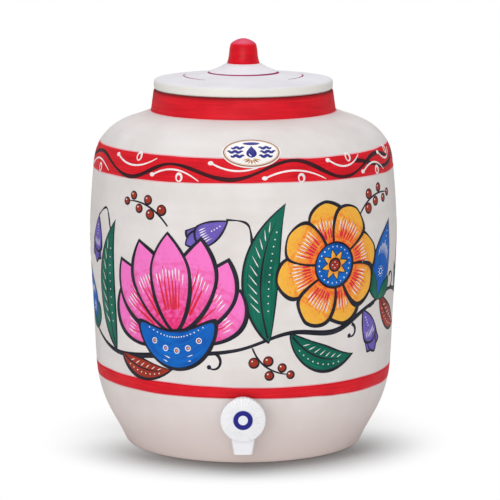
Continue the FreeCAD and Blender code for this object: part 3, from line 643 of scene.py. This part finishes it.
def lotus(base, span, turn, level):
    """A flower seen from the side: pointed petals fan out of a cup."""
    form = shape(0.56, 0.62, 0.95)
    for place, (lean, reach) in enumerate(
            [(-70, 0.78), (70, 0.78), (-47, 0.92), (47, 0.92), (-24, 1.0), (24, 1.0), (0, 0.97)]):
        angle = 90 + turn + lean
        p1 = polar(base, span * 0.56, angle + lean * 0.2 + rng.uniform(-2, 2))
        p2 = polar(base, span * reach * rng.uniform(0.97, 1.03), angle - lean * 0.14)
        here = level + 4 * (place // 2)
        spot = blade(
            "pink", polar(base, span * 0.04, angle), p1, p2, span * 0.4, here, form,
            rng.uniform(3.0, 4.0), 0.8)
        flicks(spot, here + 2, 6, 0.2, 0.7, 2.2)
        hatch(spot, here + 3, 0.46, 0.58, -0.7, 0.7, 9)
    top = level + 16
    left, low, right = (polar(base, span * 0.42, turn + angle) for angle in (166, 270, 14))
    spot = blade("blue", left, low, right, span * 0.36, top, shape(0.5, 0.6, 0.6), 2.6)
    dots_along(spot, top + 2, 0.08, 0.92, 0.7, 18)
    for n in range(5):
        c = spot(0.2 + 0.15 * n, -0.05)
        ring("white", c, 2.3, 0.8, top + 2)
        dot("gold", c, 1.1, top + 2)
    hatch(spot, top + 2, 0.36, 0.40, -0.75, -0.5, 2)
    hatch(spot, top + 2, 0.60, 0.64, -0.75, -0.5, 2)


def leaf(p0, p1, p2, width, level, colour, marks):
    """A leaf with a midrib, white marks on one side of it and specks on the other."""
    spot = blade(colour, p0, p1, p2, width, level, shape(0.46, 0.72, 1.0), rng.uniform(1.8, 2.6), 0.8)
    line("black", lambda t: spot(0.02 + 0.86 * t, 0.0), 1.5, level + 1.5, (1.2, 0.1))
    for n in range(marks):
        t = 0.2 + 0.58 * n / max(marks - 1, 1)
        streak("white", spot(t, 0.22), spot(t + 0.07, 0.74), 1.1, level + 2, 3)
    dots_along(spot, level + 2, 0.2, 0.8, -0.5, marks + 2)


def bud(base, degrees, length, level, colour="blue"):
    """A pointed bud in a small green cup."""
    spot = blade(
        colour, base, polar(base, length * 0.5, degrees + 9), polar(base, length, degrees), length * 0.46,
        level, shape(0.38, 0.55, 1.1), 2.5, 0.8)
    hatch(spot, level + 2, 0.5, 0.64, -0.62, 0.62, 8)
    ring("white", spot(0.32, 0), 2.6, 0.8, level + 2)
    dotted_ring(spot(0.32, 0), 4.6, 10, level + 2, 0.5)
    dots_along(spot, level + 2, 0.72, 0.86, 0.0, 3)
    for lean in (-40, 40):
        blade(
            "green", polar(base, -3, degrees), polar(base, length * 0.26, degrees + lean * 1.5),
            polar(base, length * 0.40, degrees + lean), length * 0.17, level + 3, shape(0.5, 0.8, 1.1), 1.2)


def bell(top, degrees, length, level):
    """A hanging bell flower with a flared, lobed mouth."""
    mouth = polar(top, length * 0.86, degrees)
    for place, lean in enumerate((-38, 38, 0)):
        blade(
            "violet", polar(mouth, length * 0.4, degrees + 180), mouth,
            polar(mouth, length * 0.3, degrees + lean * 1.7), length * 0.34, level + 2 * place,
            shape(0.6, 0.8, 0.8), 1.8)
    spot = blade(
        "violet", top, polar(top, length * 0.5, degrees + 5), mouth, length * 0.52, level + 6,
        shape(0.72, 0.85, 0.5), 2.0)
    hatch(spot, level + 8, 0.56, 0.78, -0.6, 0.6, 6)
    dots_along(spot, level + 8, 0.2, 0.46, 0.0, 4)


def berries(p0, p1, p2, count, level):
    """A thin sprig with berries on both sides and one at its tip."""
    path = bend(p0, p1, p2)
    line("black", path, 1.8, level, (0.8, 0.3))
    for n in range(count):
        beside = 0 if n == count - 1 else (1 if n % 2 else -1)
        c = side_point(path, lambda t: 5.0, 0.25 + 0.74 * n / (count - 1), beside)
        radius = 3.7 - 0.25 * n
        dot("black", (c[0] + 0.3, c[1] - 0.3), radius + 1.2, level + 1)
        dot("rust", c, radius, level + 2)
        dot("white", (c[0] - radius * 0.35, c[1] + radius * 0.35), 0.7, level + 3)


def tendril(start, degrees, size, level, way):
    """A vine end that hooks back on itself."""
    centre = polar(start, size, degrees + way * 90)

    def path(t):
        a = math.radians(degrees - way * 90) + way * 3.4 * max(t, 0.0)
        reach = size * (1 - 0.5 * t)
        return centre[0] + reach * math.cos(a), centre[1] + reach * math.sin(a)

    paint.stroke("black", path, lambda t: 1.5 * (1 - 0.6 * t), level, True, least=16, cell=2)
    dot("black", path(1.0), 2.0, level + 1)


def vine(points, width, level, taper=0.0, joined=False):
    """A smooth stem through chart points. A joined one runs on into its mirror image at both ends."""
    first, last = points[0], points[-1]
    before = (2 * first[0] - points[1][0], points[1][1]) if joined else first
    after = (2 * last[0] - points[-2][0], points[-2][1]) if joined else last
    chain = [before] + points + [after]

    def path(t):
        x = min(max(t, -0.2), 1.2) * (len(points) - 1)
        i = int(min(max(math.floor(x), 0), len(points) - 2))
        f = x - i
        p = chain[i:i + 4]
        out = []
        for k in (0, 1):
            a, b, c, d = (q[k] for q in p)
            out.append(b + 0.5 * f * (c - a + f * (2 * a - 5 * b + 4 * c - d + f * (3 * (b - c) + d - a))))
        return tuple(out)

    drift = rng.uniform(0, TAU)
    paint.stroke(
        "black", path, lambda t: width / 2 * (1 - taper * t) * (1 + 0.28 * math.sin(17 * t + drift)), level,
        True)


def composition(shift, flip):
    """One run of the flower design, half the way round the pot."""
    def at(u, z):
        return (shift + flip * u, z)

    def deg(d):
        return d if flip > 0 else 180 - d

    vine([at(-ROUND / 4, 128), at(-176, 108), at(-128, 92), at(-60, 98), at(-6, 104), at(40, 118),
          at(84, 116), at(124, 132), at(166, 142), at(ROUND / 4, 134)], 3.8, 0, joined=True)
    lotus(at(-60, 116), 86, 4 * flip, 8)
    open_flower(at(82, 174), 51, 8, 12, "gold", 8)
    leaf(at(22, 112), at(2, 176), at(36, 228), 29, 2, "green", 10)
    leaf(at(42, 116), at(66, 84), at(104, 94), 21, 2, "green", 7)
    leaf(at(-132, 96), at(-156, 148), at(-128, 206), 24, 2, "green", 8)
    leaf(at(-120, 92), at(-96, 76), at(-66, 84), 15, 2, "rust", 6)
    leaf(at(146, 138), at(164, 112), at(190, 108), 17, 2, "rust", 6)
    bud(at(140, 140), deg(72), 66, 3)
    bud(at(-172, 110), deg(112), 52, 3)
    bell(at(119, 129), deg(-62), 36, 3)
    bell(at(-14, 214), deg(-150), 34, 3)
    bell(at(-158, 206), deg(-100), 34, 3)
    vine([at(8, 190), at(4, 212), at(-14, 216)], 2.2, 1, 0.4)
    vine([at(-134, 196), at(-142, 216), at(-158, 208)], 2.2, 1, 0.4)
    vine([at(126, 132), at(134, 134), at(141, 144)], 2.6, 1)
    berries(at(-66, 208), at(-84, 230), at(-112, 226), 6, 2)
    berries(at(8, 106), at(16, 84), at(42, 82), 5, 2)
    berries(at(112, 214), at(128, 234), at(160, 228), 6, 2)
    tendril(at(-24, 101), deg(-20), 9, 1, -flip)
    tendril(at(-108, 92), deg(200), 8, 1, flip)
    tendril(at(104, 120), deg(-10), 7, 1, -flip)
    tendril(at(170, 142), deg(10), 9, 1, flip)


composition(0, 1)
composition(ROUND / 2, -1)
for way in (-1, 1):
    leaf((ROUND / 4, 135), (ROUND / 4 + way * 16, 140), (ROUND / 4 + way * 27, 162), 11, 2, "green", 4)
bud((ROUND / 4, 138), 90, 62, 3, "pink")
berries((-ROUND / 4, 128), (-ROUND / 4 - 3, 160), (-ROUND / 4, 196), 9, 2)


# ------------------------------------------------------------------ bands
BAND_MIDDLE = 256.35
BAND_WANDER = 0.35
# Each band's lower and upper edge, by place round the pot in degrees from the front: it was laid on
# by eye, so it isn't quite level.
STRIPE_EDGES = [
    (-180, 62.4, 71.8), (-110, 62.3, 72.3), (-77, 62.0, 73.0), (-64, 62.3, 73.3), (-50, 62.2, 72.7),
    (-30, 61.7, 72.6), (-13, 62.2, 72.0), (0, 62.3, 71.2), (11, 61.5, 70.9), (27, 60.9, 70.9),
    (37, 59.8, 70.7), (47, 59.2, 70.7), (60, 58.8, 70.4), (70, 58.5, 70.6), (110, 60.5, 71.2),
    (180, 62.4, 71.8),
]
BAND_EDGES = [
    (-180, 246.1, 267.2), (-100, 245.5, 267.2), (-75, 245.2, 267.0), (-50, 245.4, 267.2), (-30, 245.7, 266.8),
    (-20, 246.1, 266.5), (-8, 246.3, 266.3), (12, 247.0, 266.3), (20, 246.8, 265.8), (27, 246.3, 265.2),
    (40, 246.1, 265.4), (50, 245.8, 265.4), (60, 245.5, 265.6), (70, 244.8, 266.2), (110, 245.6, 266.8),
    (180, 246.1, 267.2),
]


def edge_heights(table, t):
    """A band's two edges at a share t of the way round, smooth between the places in the table."""
    place = (360 * t + 180) % 360 - 180
    for (d0, *here), (d1, *there) in zip(table, table[1:]):
        if place <= d1:
            swing = (1 - math.cos(math.pi * (place - d0) / (d1 - d0))) / 2
            return [p + (q - p) * swing for p, q in zip(here, there)]


def round_band(colour, table, level, across, grow):
    """A band round the pot whose edges wander a little, as a brush leaves them."""
    phases = [(k, rng.uniform(0, TAU), rng.uniform(0.3, 1.0)) for k in (3, 5, 8, 13, 21)]

    def drift(t, which):
        return BAND_WANDER * sum(s * math.sin(k * TAU * t + p + which) for k, p, s in phases) / 3

    grid = bmesh.ops.create_grid(
        paint.mesh(colour), x_segments=280, y_segments=across, size=0.5, calc_uvs=True)
    for v in grid["verts"]:
        t, y = v.co.x + 0.5, 2 * v.co.y
        low, high = edge_heights(table, t)
        edge = (high - low) / 2 + grow + drift(t, 2.1) * 0.5
        v.co = on_pot(ROUND * t, (low + high) / 2 + drift(t, 0) * 0.5 + y * edge, PAINT_LIFT + LAYER * level)


# Each red band lies on a slightly wider, paler wash with the same edges.
for seed, (table, across) in enumerate(((STRIPE_EDGES, 5), (BAND_EDGES, 14))):
    for colour, level, grow in (("halo", -3, 0.8), ("red", 0, 0.0)):
        rng.seed(40 + seed)
        round_band(colour, table, level, across, grow)

# The wave's turns: place round the pot in degrees from the front and height over the band's middle,
# then the middle and half length of the white flick beside the turn. The wave was begun at the right
# of the front and crosses its own start where it comes round again.
BACK_STEP = 24.3
WAVE_TURNS = [(67.8, -5.5, 71.2, 6.3)]
WAVE_TURNS += [(67.8 + BACK_STEP * n, 6.4 if n % 2 else -6.4, 70.3 + BACK_STEP * n, 9.6) for n in range(1, 9)]
WAVE_TURNS += [
    (289.4, 6.3, 288.6, 9.8), (313.2, -9.6, 314.8, 10.6), (332.3, 4.2, 334.1, 9.4),
    (355.2, -7.0, 359.4, 11.1), (379.3, 8.0, 380.3, 11.8), (401.0, -8.6, 402.3, 7.9),
    (422.4, 6.5, 419.2, 7.6),
]
rng.seed(5)


def wave_line(turns):
    """A smooth line that swings from each turn to the next."""
    def path(t):
        x = min(max(t, -0.01), 1.01) * (len(turns) - 1)
        i = int(min(max(math.floor(x), 0), len(turns) - 2))
        (d0, h0), (d1, h1) = turns[i][:2], turns[i + 1][:2]
        swing = (1 - math.cos(math.pi * (x - i))) / 2
        return DEGREE * (d0 + (d1 - d0) * (x - i)), BAND_MIDDLE + h0 + (h1 - h0) * swing
    return path


def wave_width(t):
    return 1.5 + 0.3 * math.sin(43 * t) + 0.15 * math.sin(101 * t)


paint.stroke("wave", wave_line([(47, 3.5)] + WAVE_TURNS[:6]), wave_width, 2, True)
paint.stroke("wave", wave_line(WAVE_TURNS[5:] + [(436, 1.5)]), wave_width, 3, True)
for turn, height, place, reach in WAVE_TURNS:
    # A flick with a blob at its start, and a small oval beside it.
    way = 1 if height < 0 else -1
    lift = rng.uniform(-0.8, 0.8)
    centre, reach = DEGREE * place, DEGREE * reach
    a = (centre - reach, BAND_MIDDLE + way * (6.0 + lift))
    b = (centre + reach, BAND_MIDDLE + way * (8.4 - lift))
    line("white", bend(a, (centre, BAND_MIDDLE - way * 6.6), b), 1.6, 4, (0.9, 0.4))
    dot("white", (a[0] - 1.2, a[1] + way * 0.3), 2.4, 5, squash=0.72)
    c = (centre + 3.8, BAND_MIDDLE + way * (7.2 + lift))
    paint.stroke(
        "white", lambda t: (c[0] + 2.6 * math.cos(TAU * t + 1), c[1] + 3.2 * math.sin(TAU * t + 1)),
        lambda t: 0.85 + 0.3 * math.cos(TAU * t), 4, True, least=16)

paint.pieces()


# ------------------------------------------------------------------ oval label, unlettered
LABEL_WIDTH = 50
LABEL_DEPTH = 29
LABEL_DROP = 22
LABEL_TURN = 3.3
LABEL_LIFT = 0.28
LABEL_ARC = side.arc(COLLAR_FOOT[1] - LABEL_DROP)
LABEL_RADIUS = side.at(LABEL_ARC)[0]


def on_label(x, y, lift):
    """A point of the label, x across and y up from its middle, as a point in space."""
    r, height = side.at(LABEL_ARC + y, lift + LABEL_LIFT)
    angle = math.radians(LABEL_TURN - 90) + x / LABEL_RADIUS
    return Vector((r * math.cos(angle), r * math.sin(angle), height)) / 1000


def oval(x, y):
    """A closed line round the label's middle, from its half-width and half-height."""
    return lambda t: (x * math.cos(TAU * t), y * math.sin(TAU * t))


sheet = Paint(on_label)
end = LABEL_WIDTH / 2
sheet.stroke("label", straight((-end, 0), (end, 0)), oval_width(LABEL_DEPTH), 0, least=24)
sheet.pieces("label_sheet_")
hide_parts("pot_label")
sheet = Paint(on_label)
sheet.stroke("bronze", oval(23.3, 12.9), lambda t: 0.55, 1, True, least=60)
sheet.stroke("ochre", oval(22.0, 11.8), lambda t: 0.2, 1, True, least=60)
# A bar above a falling drop with a glint, waves on both sides of it and rays below it.
sheet.stroke("navy", straight((-7.5, 8.6), (7.5, 8.6)), oval_width(3.2), 1, least=12)
sheet.stroke("navy", straight((0, 6.2), (0, -5.4)), lambda t: 4.4 * shape(0.68, 1.3, 0.5)(t), 1, least=14)
sheet.stroke(
    "label", bend((-2.0, -1.4), (-1.9, -3.6), (0.4, -4.1)), lambda t: 0.5 * shape(0.5, 0.8, 0.8)(t), 2)
for way in (-1, 1):
    for height, start, end in ((4.0, 5.8, 17.6), (0.0, 6.8, 20.6), (-4.0, 5.8, 17.6)):
        length = end - start
        sheet.stroke(
            "navy",
            lambda t: (way * (start + length * t), height + 0.75 * math.sin(TAU * t * length / 5.6)),
            lambda t: 1.35 * shape(0.5, 0.4, 0.4)(t), 1, True, cell=1)
for n in range(7):
    angle = 180 + 180 * (n + 1) / 8
    x, y = polar((0, 0), 5.4, angle)
    sheet.stroke(
        "bronze" if n % 2 else "ochre", straight(polar((0, -5.8), 1.6, angle), (1.5 * x, -5.8 + y)),
        lambda t: 0.62 * shape(0.5, 0.8, 0.9)(t), 1, True)
sheet.pieces("label_print_", PRINT_THICKNESS)


# ------------------------------------------------------------------ collar, lid and knob
PAINTED_COLLAR = 0.84
collar_skin = [side.at(side.s[-1] - 0.6, 0.16), (COLLAR_FOOT[0] + 0.22, COLLAR_FOOT[1] + 0.5)]
for n in range(1, 8):
    f = PAINTED_COLLAR * n / 7
    collar_skin.append((
        COLLAR_FOOT[0] + (COLLAR_TOP[0] - COLLAR_FOOT[0]) * f + 0.2,
        COLLAR_FOOT[1] + (COLLAR_TOP[1] - COLLAR_FOOT[1]) * f))
collar_skin += arc_points(RIM_CENTRE, RIM_ROUND + 0.15, 8, 60, 5)
inner_skin = [(r - 0.5, z - 0.1) for r, z in reversed(collar_skin)]
spun("collar_paint", collar_skin + inner_skin, MATERIALS["collar"], 192, closed=True)
wash = [side.at(side.s[-1] - 1.5, 0.08), side.at(side.s[-1] - 0.5, 0.08)]
spun("collar_halo", wash + [(r, z - 0.3) for r, z in reversed(wash)], MATERIALS["halo"], 192, closed=True)

LID_BOTTOM = COLLAR_TOP[1]
LID_EDGE = LID_BOTTOM + 8.2
LID_RADIUS = 78.5
LID_STEP = (31.0, LID_EDGE + 5.2)
LID_SLOPE = (LID_STEP[1] - LID_EDGE) / (LID_RADIUS - LID_STEP[0])
LID_CONE = (28.5, LID_STEP[1] + 2.0)
LID_WALL = 9
LID_LOWER_ROUND = 1.8
LID_UPPER_ROUND = 2.6
LID_RING_INNER = 57.5
LID_RING_OUTER = 66.5
LID_RING_FOOT = LID_BOTTOM - 12
RING_INNER_ROUND = 0.8
RING_OUTER_ROUND = 2.0
KNOB_SEAT = LID_CONE[1] + 6.5


def lid_profile():
    """The lid's section, from the middle of its underside round the ring and the edge to the cone's top."""
    top_points = [(0, KNOB_SEAT), (6, KNOB_SEAT), LID_STEP, (LID_RING_INNER, LID_EDGE)]
    points = [(r, z - LID_WALL) for r, z in top_points]
    for r, size, start, count in (
            (LID_RING_INNER + RING_INNER_ROUND, RING_INNER_ROUND, 180, 3),
            (LID_RING_OUTER - RING_OUTER_ROUND, RING_OUTER_ROUND, 270, 5)):
        points += arc_points((r, LID_RING_FOOT + size), size, start, start + 90, count)
    points += [(LID_RING_OUTER, LID_BOTTOM - 0.8), (LID_RING_OUTER + 0.7, LID_BOTTOM)]
    lower_edge = (LID_RADIUS - LID_LOWER_ROUND, LID_BOTTOM + LID_LOWER_ROUND)
    points += arc_points(lower_edge, LID_LOWER_ROUND, -90, 0, 6)
    points += [(LID_RADIUS, LID_EDGE - 4.5)]
    points += arc_points((LID_RADIUS - LID_UPPER_ROUND, LID_EDGE - 2.45), LID_UPPER_ROUND, 0, 84, 8)
    points += [(r, LID_EDGE + LID_SLOPE * (LID_RADIUS - r)) for r in (70, 60, 50, 40, 34)]
    points += [(LID_STEP[0] + 0.4, LID_STEP[1] + 0.05), (LID_STEP[0] - 0.6, LID_STEP[1] + 0.7)]
    points += [LID_CONE, (24, 329.7), (19.5, 331.9), (16, 333.9), (14.5, KNOB_SEAT), (0, KNOB_SEAT)]
    return points


lid = spun("lid_disc", lid_profile(), MATERIALS["lid"], 192, "lid")
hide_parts("lid")

knob_outline = [(r, KNOB_SEAT + z) for r, z in (
    (14.6, -0.5), (14.2, 0.6), (13.8, 2), (13.2, 4), (12.8, 6.5), (12.5, 9), (12.2, 12), (11.8, 14.4),
    (11.4, 16), (10.9, 17.1), (10.1, 18.0), (8.6, 19.0), (6.7, 20.1), (4.6, 21.0), (2.3, 21.6), (0, 21.8),
)]
knob = spun("knob_turned", [(0, KNOB_SEAT - 1)] + knob_outline, MATERIALS["knob"], 96, "lid")
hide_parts("lid_knob")


def lid_line(name, radius, height, width, spans):
    """A thin painted line on the lid, as arcs between angles in degrees with fading ends."""
    bm = bmesh.new()
    for start, end in spans:
        steps = max(int((end - start) / 3), 4)
        grid = bmesh.ops.create_grid(bm, x_segments=steps, y_segments=1, size=0.5)
        for v in grid["verts"]:
            t, y = v.co.x + 0.5, 2 * v.co.y
            fade = 1 if end - start > 359 else 0.15 + 0.85 * math.sin(math.pi * t) ** 0.6
            wave = 1 + 0.2 * math.sin(9 * t + radius)
            r = radius + y * width / 2 * fade * wave
            a = math.radians(start + (end - start) * t)
            v.co = Vector((r * math.cos(a), r * math.sin(a), height(r))) / 1000
    thicken(to_piece(bm, name, MATERIALS["purple"], "lid"), PAINT_THICKNESS)


def step_height(r):
    """Just over the raised step's edge."""
    return LID_STEP[1] + (LID_STEP[0] + 0.4 - r) * 0.66 + 0.14


def slope_height(r):
    """Just over the lid's sloping top."""
    return LID_EDGE + LID_SLOPE * (LID_RADIUS - r) + 0.12


lid_line("lid_line_inner", 30.7, step_height, 1.5, [(0, 360)])
lid_line("lid_line_outer", 52.3, slope_height, 1.2, [(-42, 16), (164, 232)])


# ------------------------------------------------------------------ carried-over nodes
CARRIED = {
    "tap_body": plastic(
        "tap_white", srgb(234, 234, 238), 0.32, Subsurface_Weight=0.05,
        Subsurface_Radius=(0.001, 0.001, 0.001)),
    "bonnet_ring": plastic("ring_white", srgb(238, 238, 238), 0.35),
    "tap_knob": plastic("dial_white", srgb(232, 232, 234), 0.3),
    "knob_cap": plastic("cap_white", srgb(224, 231, 236), 0.28),
    "cap_label": plastic("label_blue", srgb(16, 12, 124), 0.5, Specular_IOR_Level=0.25),
    "back_nut": plastic("nut_white", srgb(230, 230, 226), 0.45),
    "back_washer": plastic("washer_plastic", srgb(206, 206, 200), 0.5),
    "thrust_washer": plastic("thrust_plastic", srgb(206, 206, 200), 0.5),
    "valve_plug": plastic("plug_plastic", srgb(214, 222, 230), 0.35),
    "outer_gasket": plastic("gasket_black", srgb(34, 34, 36), 0.75, 0.3),
    "inner_gasket": plastic("gasket_inner", srgb(38, 38, 40), 0.75, 0.3),
    "rear_o_ring": plastic("ring_rubber_rear", srgb(60, 60, 64), 0.6, 0.2),
    "front_o_ring": plastic("ring_rubber_front", srgb(60, 60, 64), 0.6, 0.2),
    "outlet_seal": plastic("seal_rubber", srgb(66, 66, 70), 0.6, 0.2),
    "knob_screw": plastic("screw_steel", srgb(190, 190, 194), 0.3, 0.1, Metallic=1.0),
}
for name, material in CARRIED.items():
    mesh = NODES[name].data
    mesh.materials.clear()
    mesh.materials.append(material)


# ------------------------------------------------------------------ floor, light and camera
WHITE = (1, 1, 1, 1)
bm = bmesh.new()
bmesh.ops.create_grid(bm, x_segments=1, y_segments=1, size=6)
mesh = bpy.data.meshes.new("floor")
bm.to_mesh(mesh)
bm.free()
floor = put("floor", mesh)

# The floor is a plain ground with a deeper shade where the pot stands. The eye sees it run out into
# pure white between two distances from the pot's axis, in metres. Behind the pot it is fainter: it
# fades to a share of itself between two depths, along a line that is a little askew.
SHADE_REACH = 0.1
SHADE_WHOLE = 0.112
SHADE_GONE = 0.19
SHADE_BEHIND = 0.25
BEHIND_FRONT = -0.09
BEHIND_BACK = 0.03
BEHIND_SKEW = 0.15
ground = Shader("floor_white")
place = ground.node("SeparateXYZ", i0=ground.node("TexCoord").outputs["Object"])
flat = ground.node("CombineXYZ", X=place.outputs[0], Y=place.outputs[1])
reach = ground.node("VectorMath", {"operation": "LENGTH"}, i0=flat.outputs[0]).outputs["Value"]
rays = ground.node("LightPath").outputs
mirrored = ground.math("MAXIMUM", rays["Is Glossy Ray"], rays["Is Transmission Ray"])
seen_by = ground.math("MAXIMUM", rays["Is Camera Ray"], mirrored)
nearby = ground.node("AmbientOcclusion", Distance=SHADE_REACH).outputs["AO"]
shade = ground.ramp(nearby, 0.25, 0.95, 0.28, 1.0)
shade = ground.math("MAXIMUM", shade, ground.math("SUBTRACT", 1.0, seen_by))
ground.finish(ground.mix(shade, (0, 0, 0, 1), srgb(250, 250, 250)), 0.9, Specular_IOR_Level=0.0)
glow = ground.node("Emission", Color=WHITE, Strength=1.0)
smooth = {"interpolation_type": "SMOOTHSTEP"}
fade = ground.node("MapRange", smooth, i0=reach, i1=SHADE_WHOLE, i2=SHADE_GONE, i3=1.0, i4=0.0).outputs[0]
lean = ground.math("SUBTRACT", place.outputs[1], ground.math("MULTIPLY", place.outputs[0], BEHIND_SKEW))
front = ground.node(
    "MapRange", smooth, i0=lean, i1=BEHIND_BACK, i2=BEHIND_FRONT, i3=SHADE_BEHIND, i4=1.0).outputs[0]
cover = ground.math("MULTIPLY", seen_by, ground.math("SUBTRACT", 1.0, ground.math("MULTIPLY", fade, front)))
blend = ground.node("MixShader", i0=cover, i1=ground.bsdf.outputs[0], i2=glow.outputs[0])
ground.link(blend.outputs[0], ground.out.inputs[0])
floor.data.materials.append(ground.material)

# The world lights the pot softly and shows pure white to the camera.
WORLD_LIGHT = 0.47
world = bpy.data.worlds.new("studio")
bpy.context.scene.world = world
world.use_nodes = True
tree = world.node_tree
tree.nodes.clear()
background = tree.nodes.new("ShaderNodeBackground")
seen = tree.nodes.new("ShaderNodeBackground")
path_info = tree.nodes.new("ShaderNodeLightPath")
blend = tree.nodes.new("ShaderNodeMixShader")
output = tree.nodes.new("ShaderNodeOutputWorld")
background.inputs[0].default_value = WHITE
background.inputs[1].default_value = WORLD_LIGHT
seen.inputs[0].default_value = WHITE
seen.inputs[1].default_value = 1.0
tree.links.new(path_info.outputs["Is Camera Ray"], blend.inputs[0])
tree.links.new(background.outputs[0], blend.inputs[1])
tree.links.new(seen.outputs[0], blend.inputs[2])
tree.links.new(blend.outputs[0], output.inputs[0])


def lamp(name, place, aim, width, height, power, colour=(1, 1, 1)):
    """A soft box, in metres and watts."""
    data = bpy.data.lights.new(name, "AREA")
    data.shape = "RECTANGLE"
    data.size, data.size_y = width, height
    data.energy = power
    data.color = colour
    made = put(name, data)
    made.location = place
    made.rotation_euler = (Vector(aim) - Vector(place)).to_track_quat("-Z", "Y").to_euler()


lamp("key", (-0.22, -2.2, 0.5), (0, 0, 0.17), 1.2, 0.8, 19.5)
lamp("top", (0.0, 0.25, 1.9), (0, 0, 0.2), 1.4, 1.4, 17.5, (0.93, 0.95, 1.0))

IMAGE_WIDTH = 500       # pixels
FOCAL_LENGTH = 2884     # pixels
SENSOR_WIDTH = 36       # millimetres
LOOK_DOWN = 9.32        # degrees
CAMERA_PLACE = (0.00585, -2.52, 0.582)      # metres
camera_data = bpy.data.cameras.new("camera")
camera_data.lens = FOCAL_LENGTH / IMAGE_WIDTH * SENSOR_WIDTH
camera_data.sensor_width = SENSOR_WIDTH
camera_data.clip_start = 0.05
camera_data.clip_end = 50
camera = put("camera", camera_data)
camera.location = CAMERA_PLACE
camera.rotation_euler = (math.radians(90 - LOOK_DOWN), 0, 0)
bpy.context.scene.camera = camera
bpy.context.scene.view_settings.view_transform = "Standard"
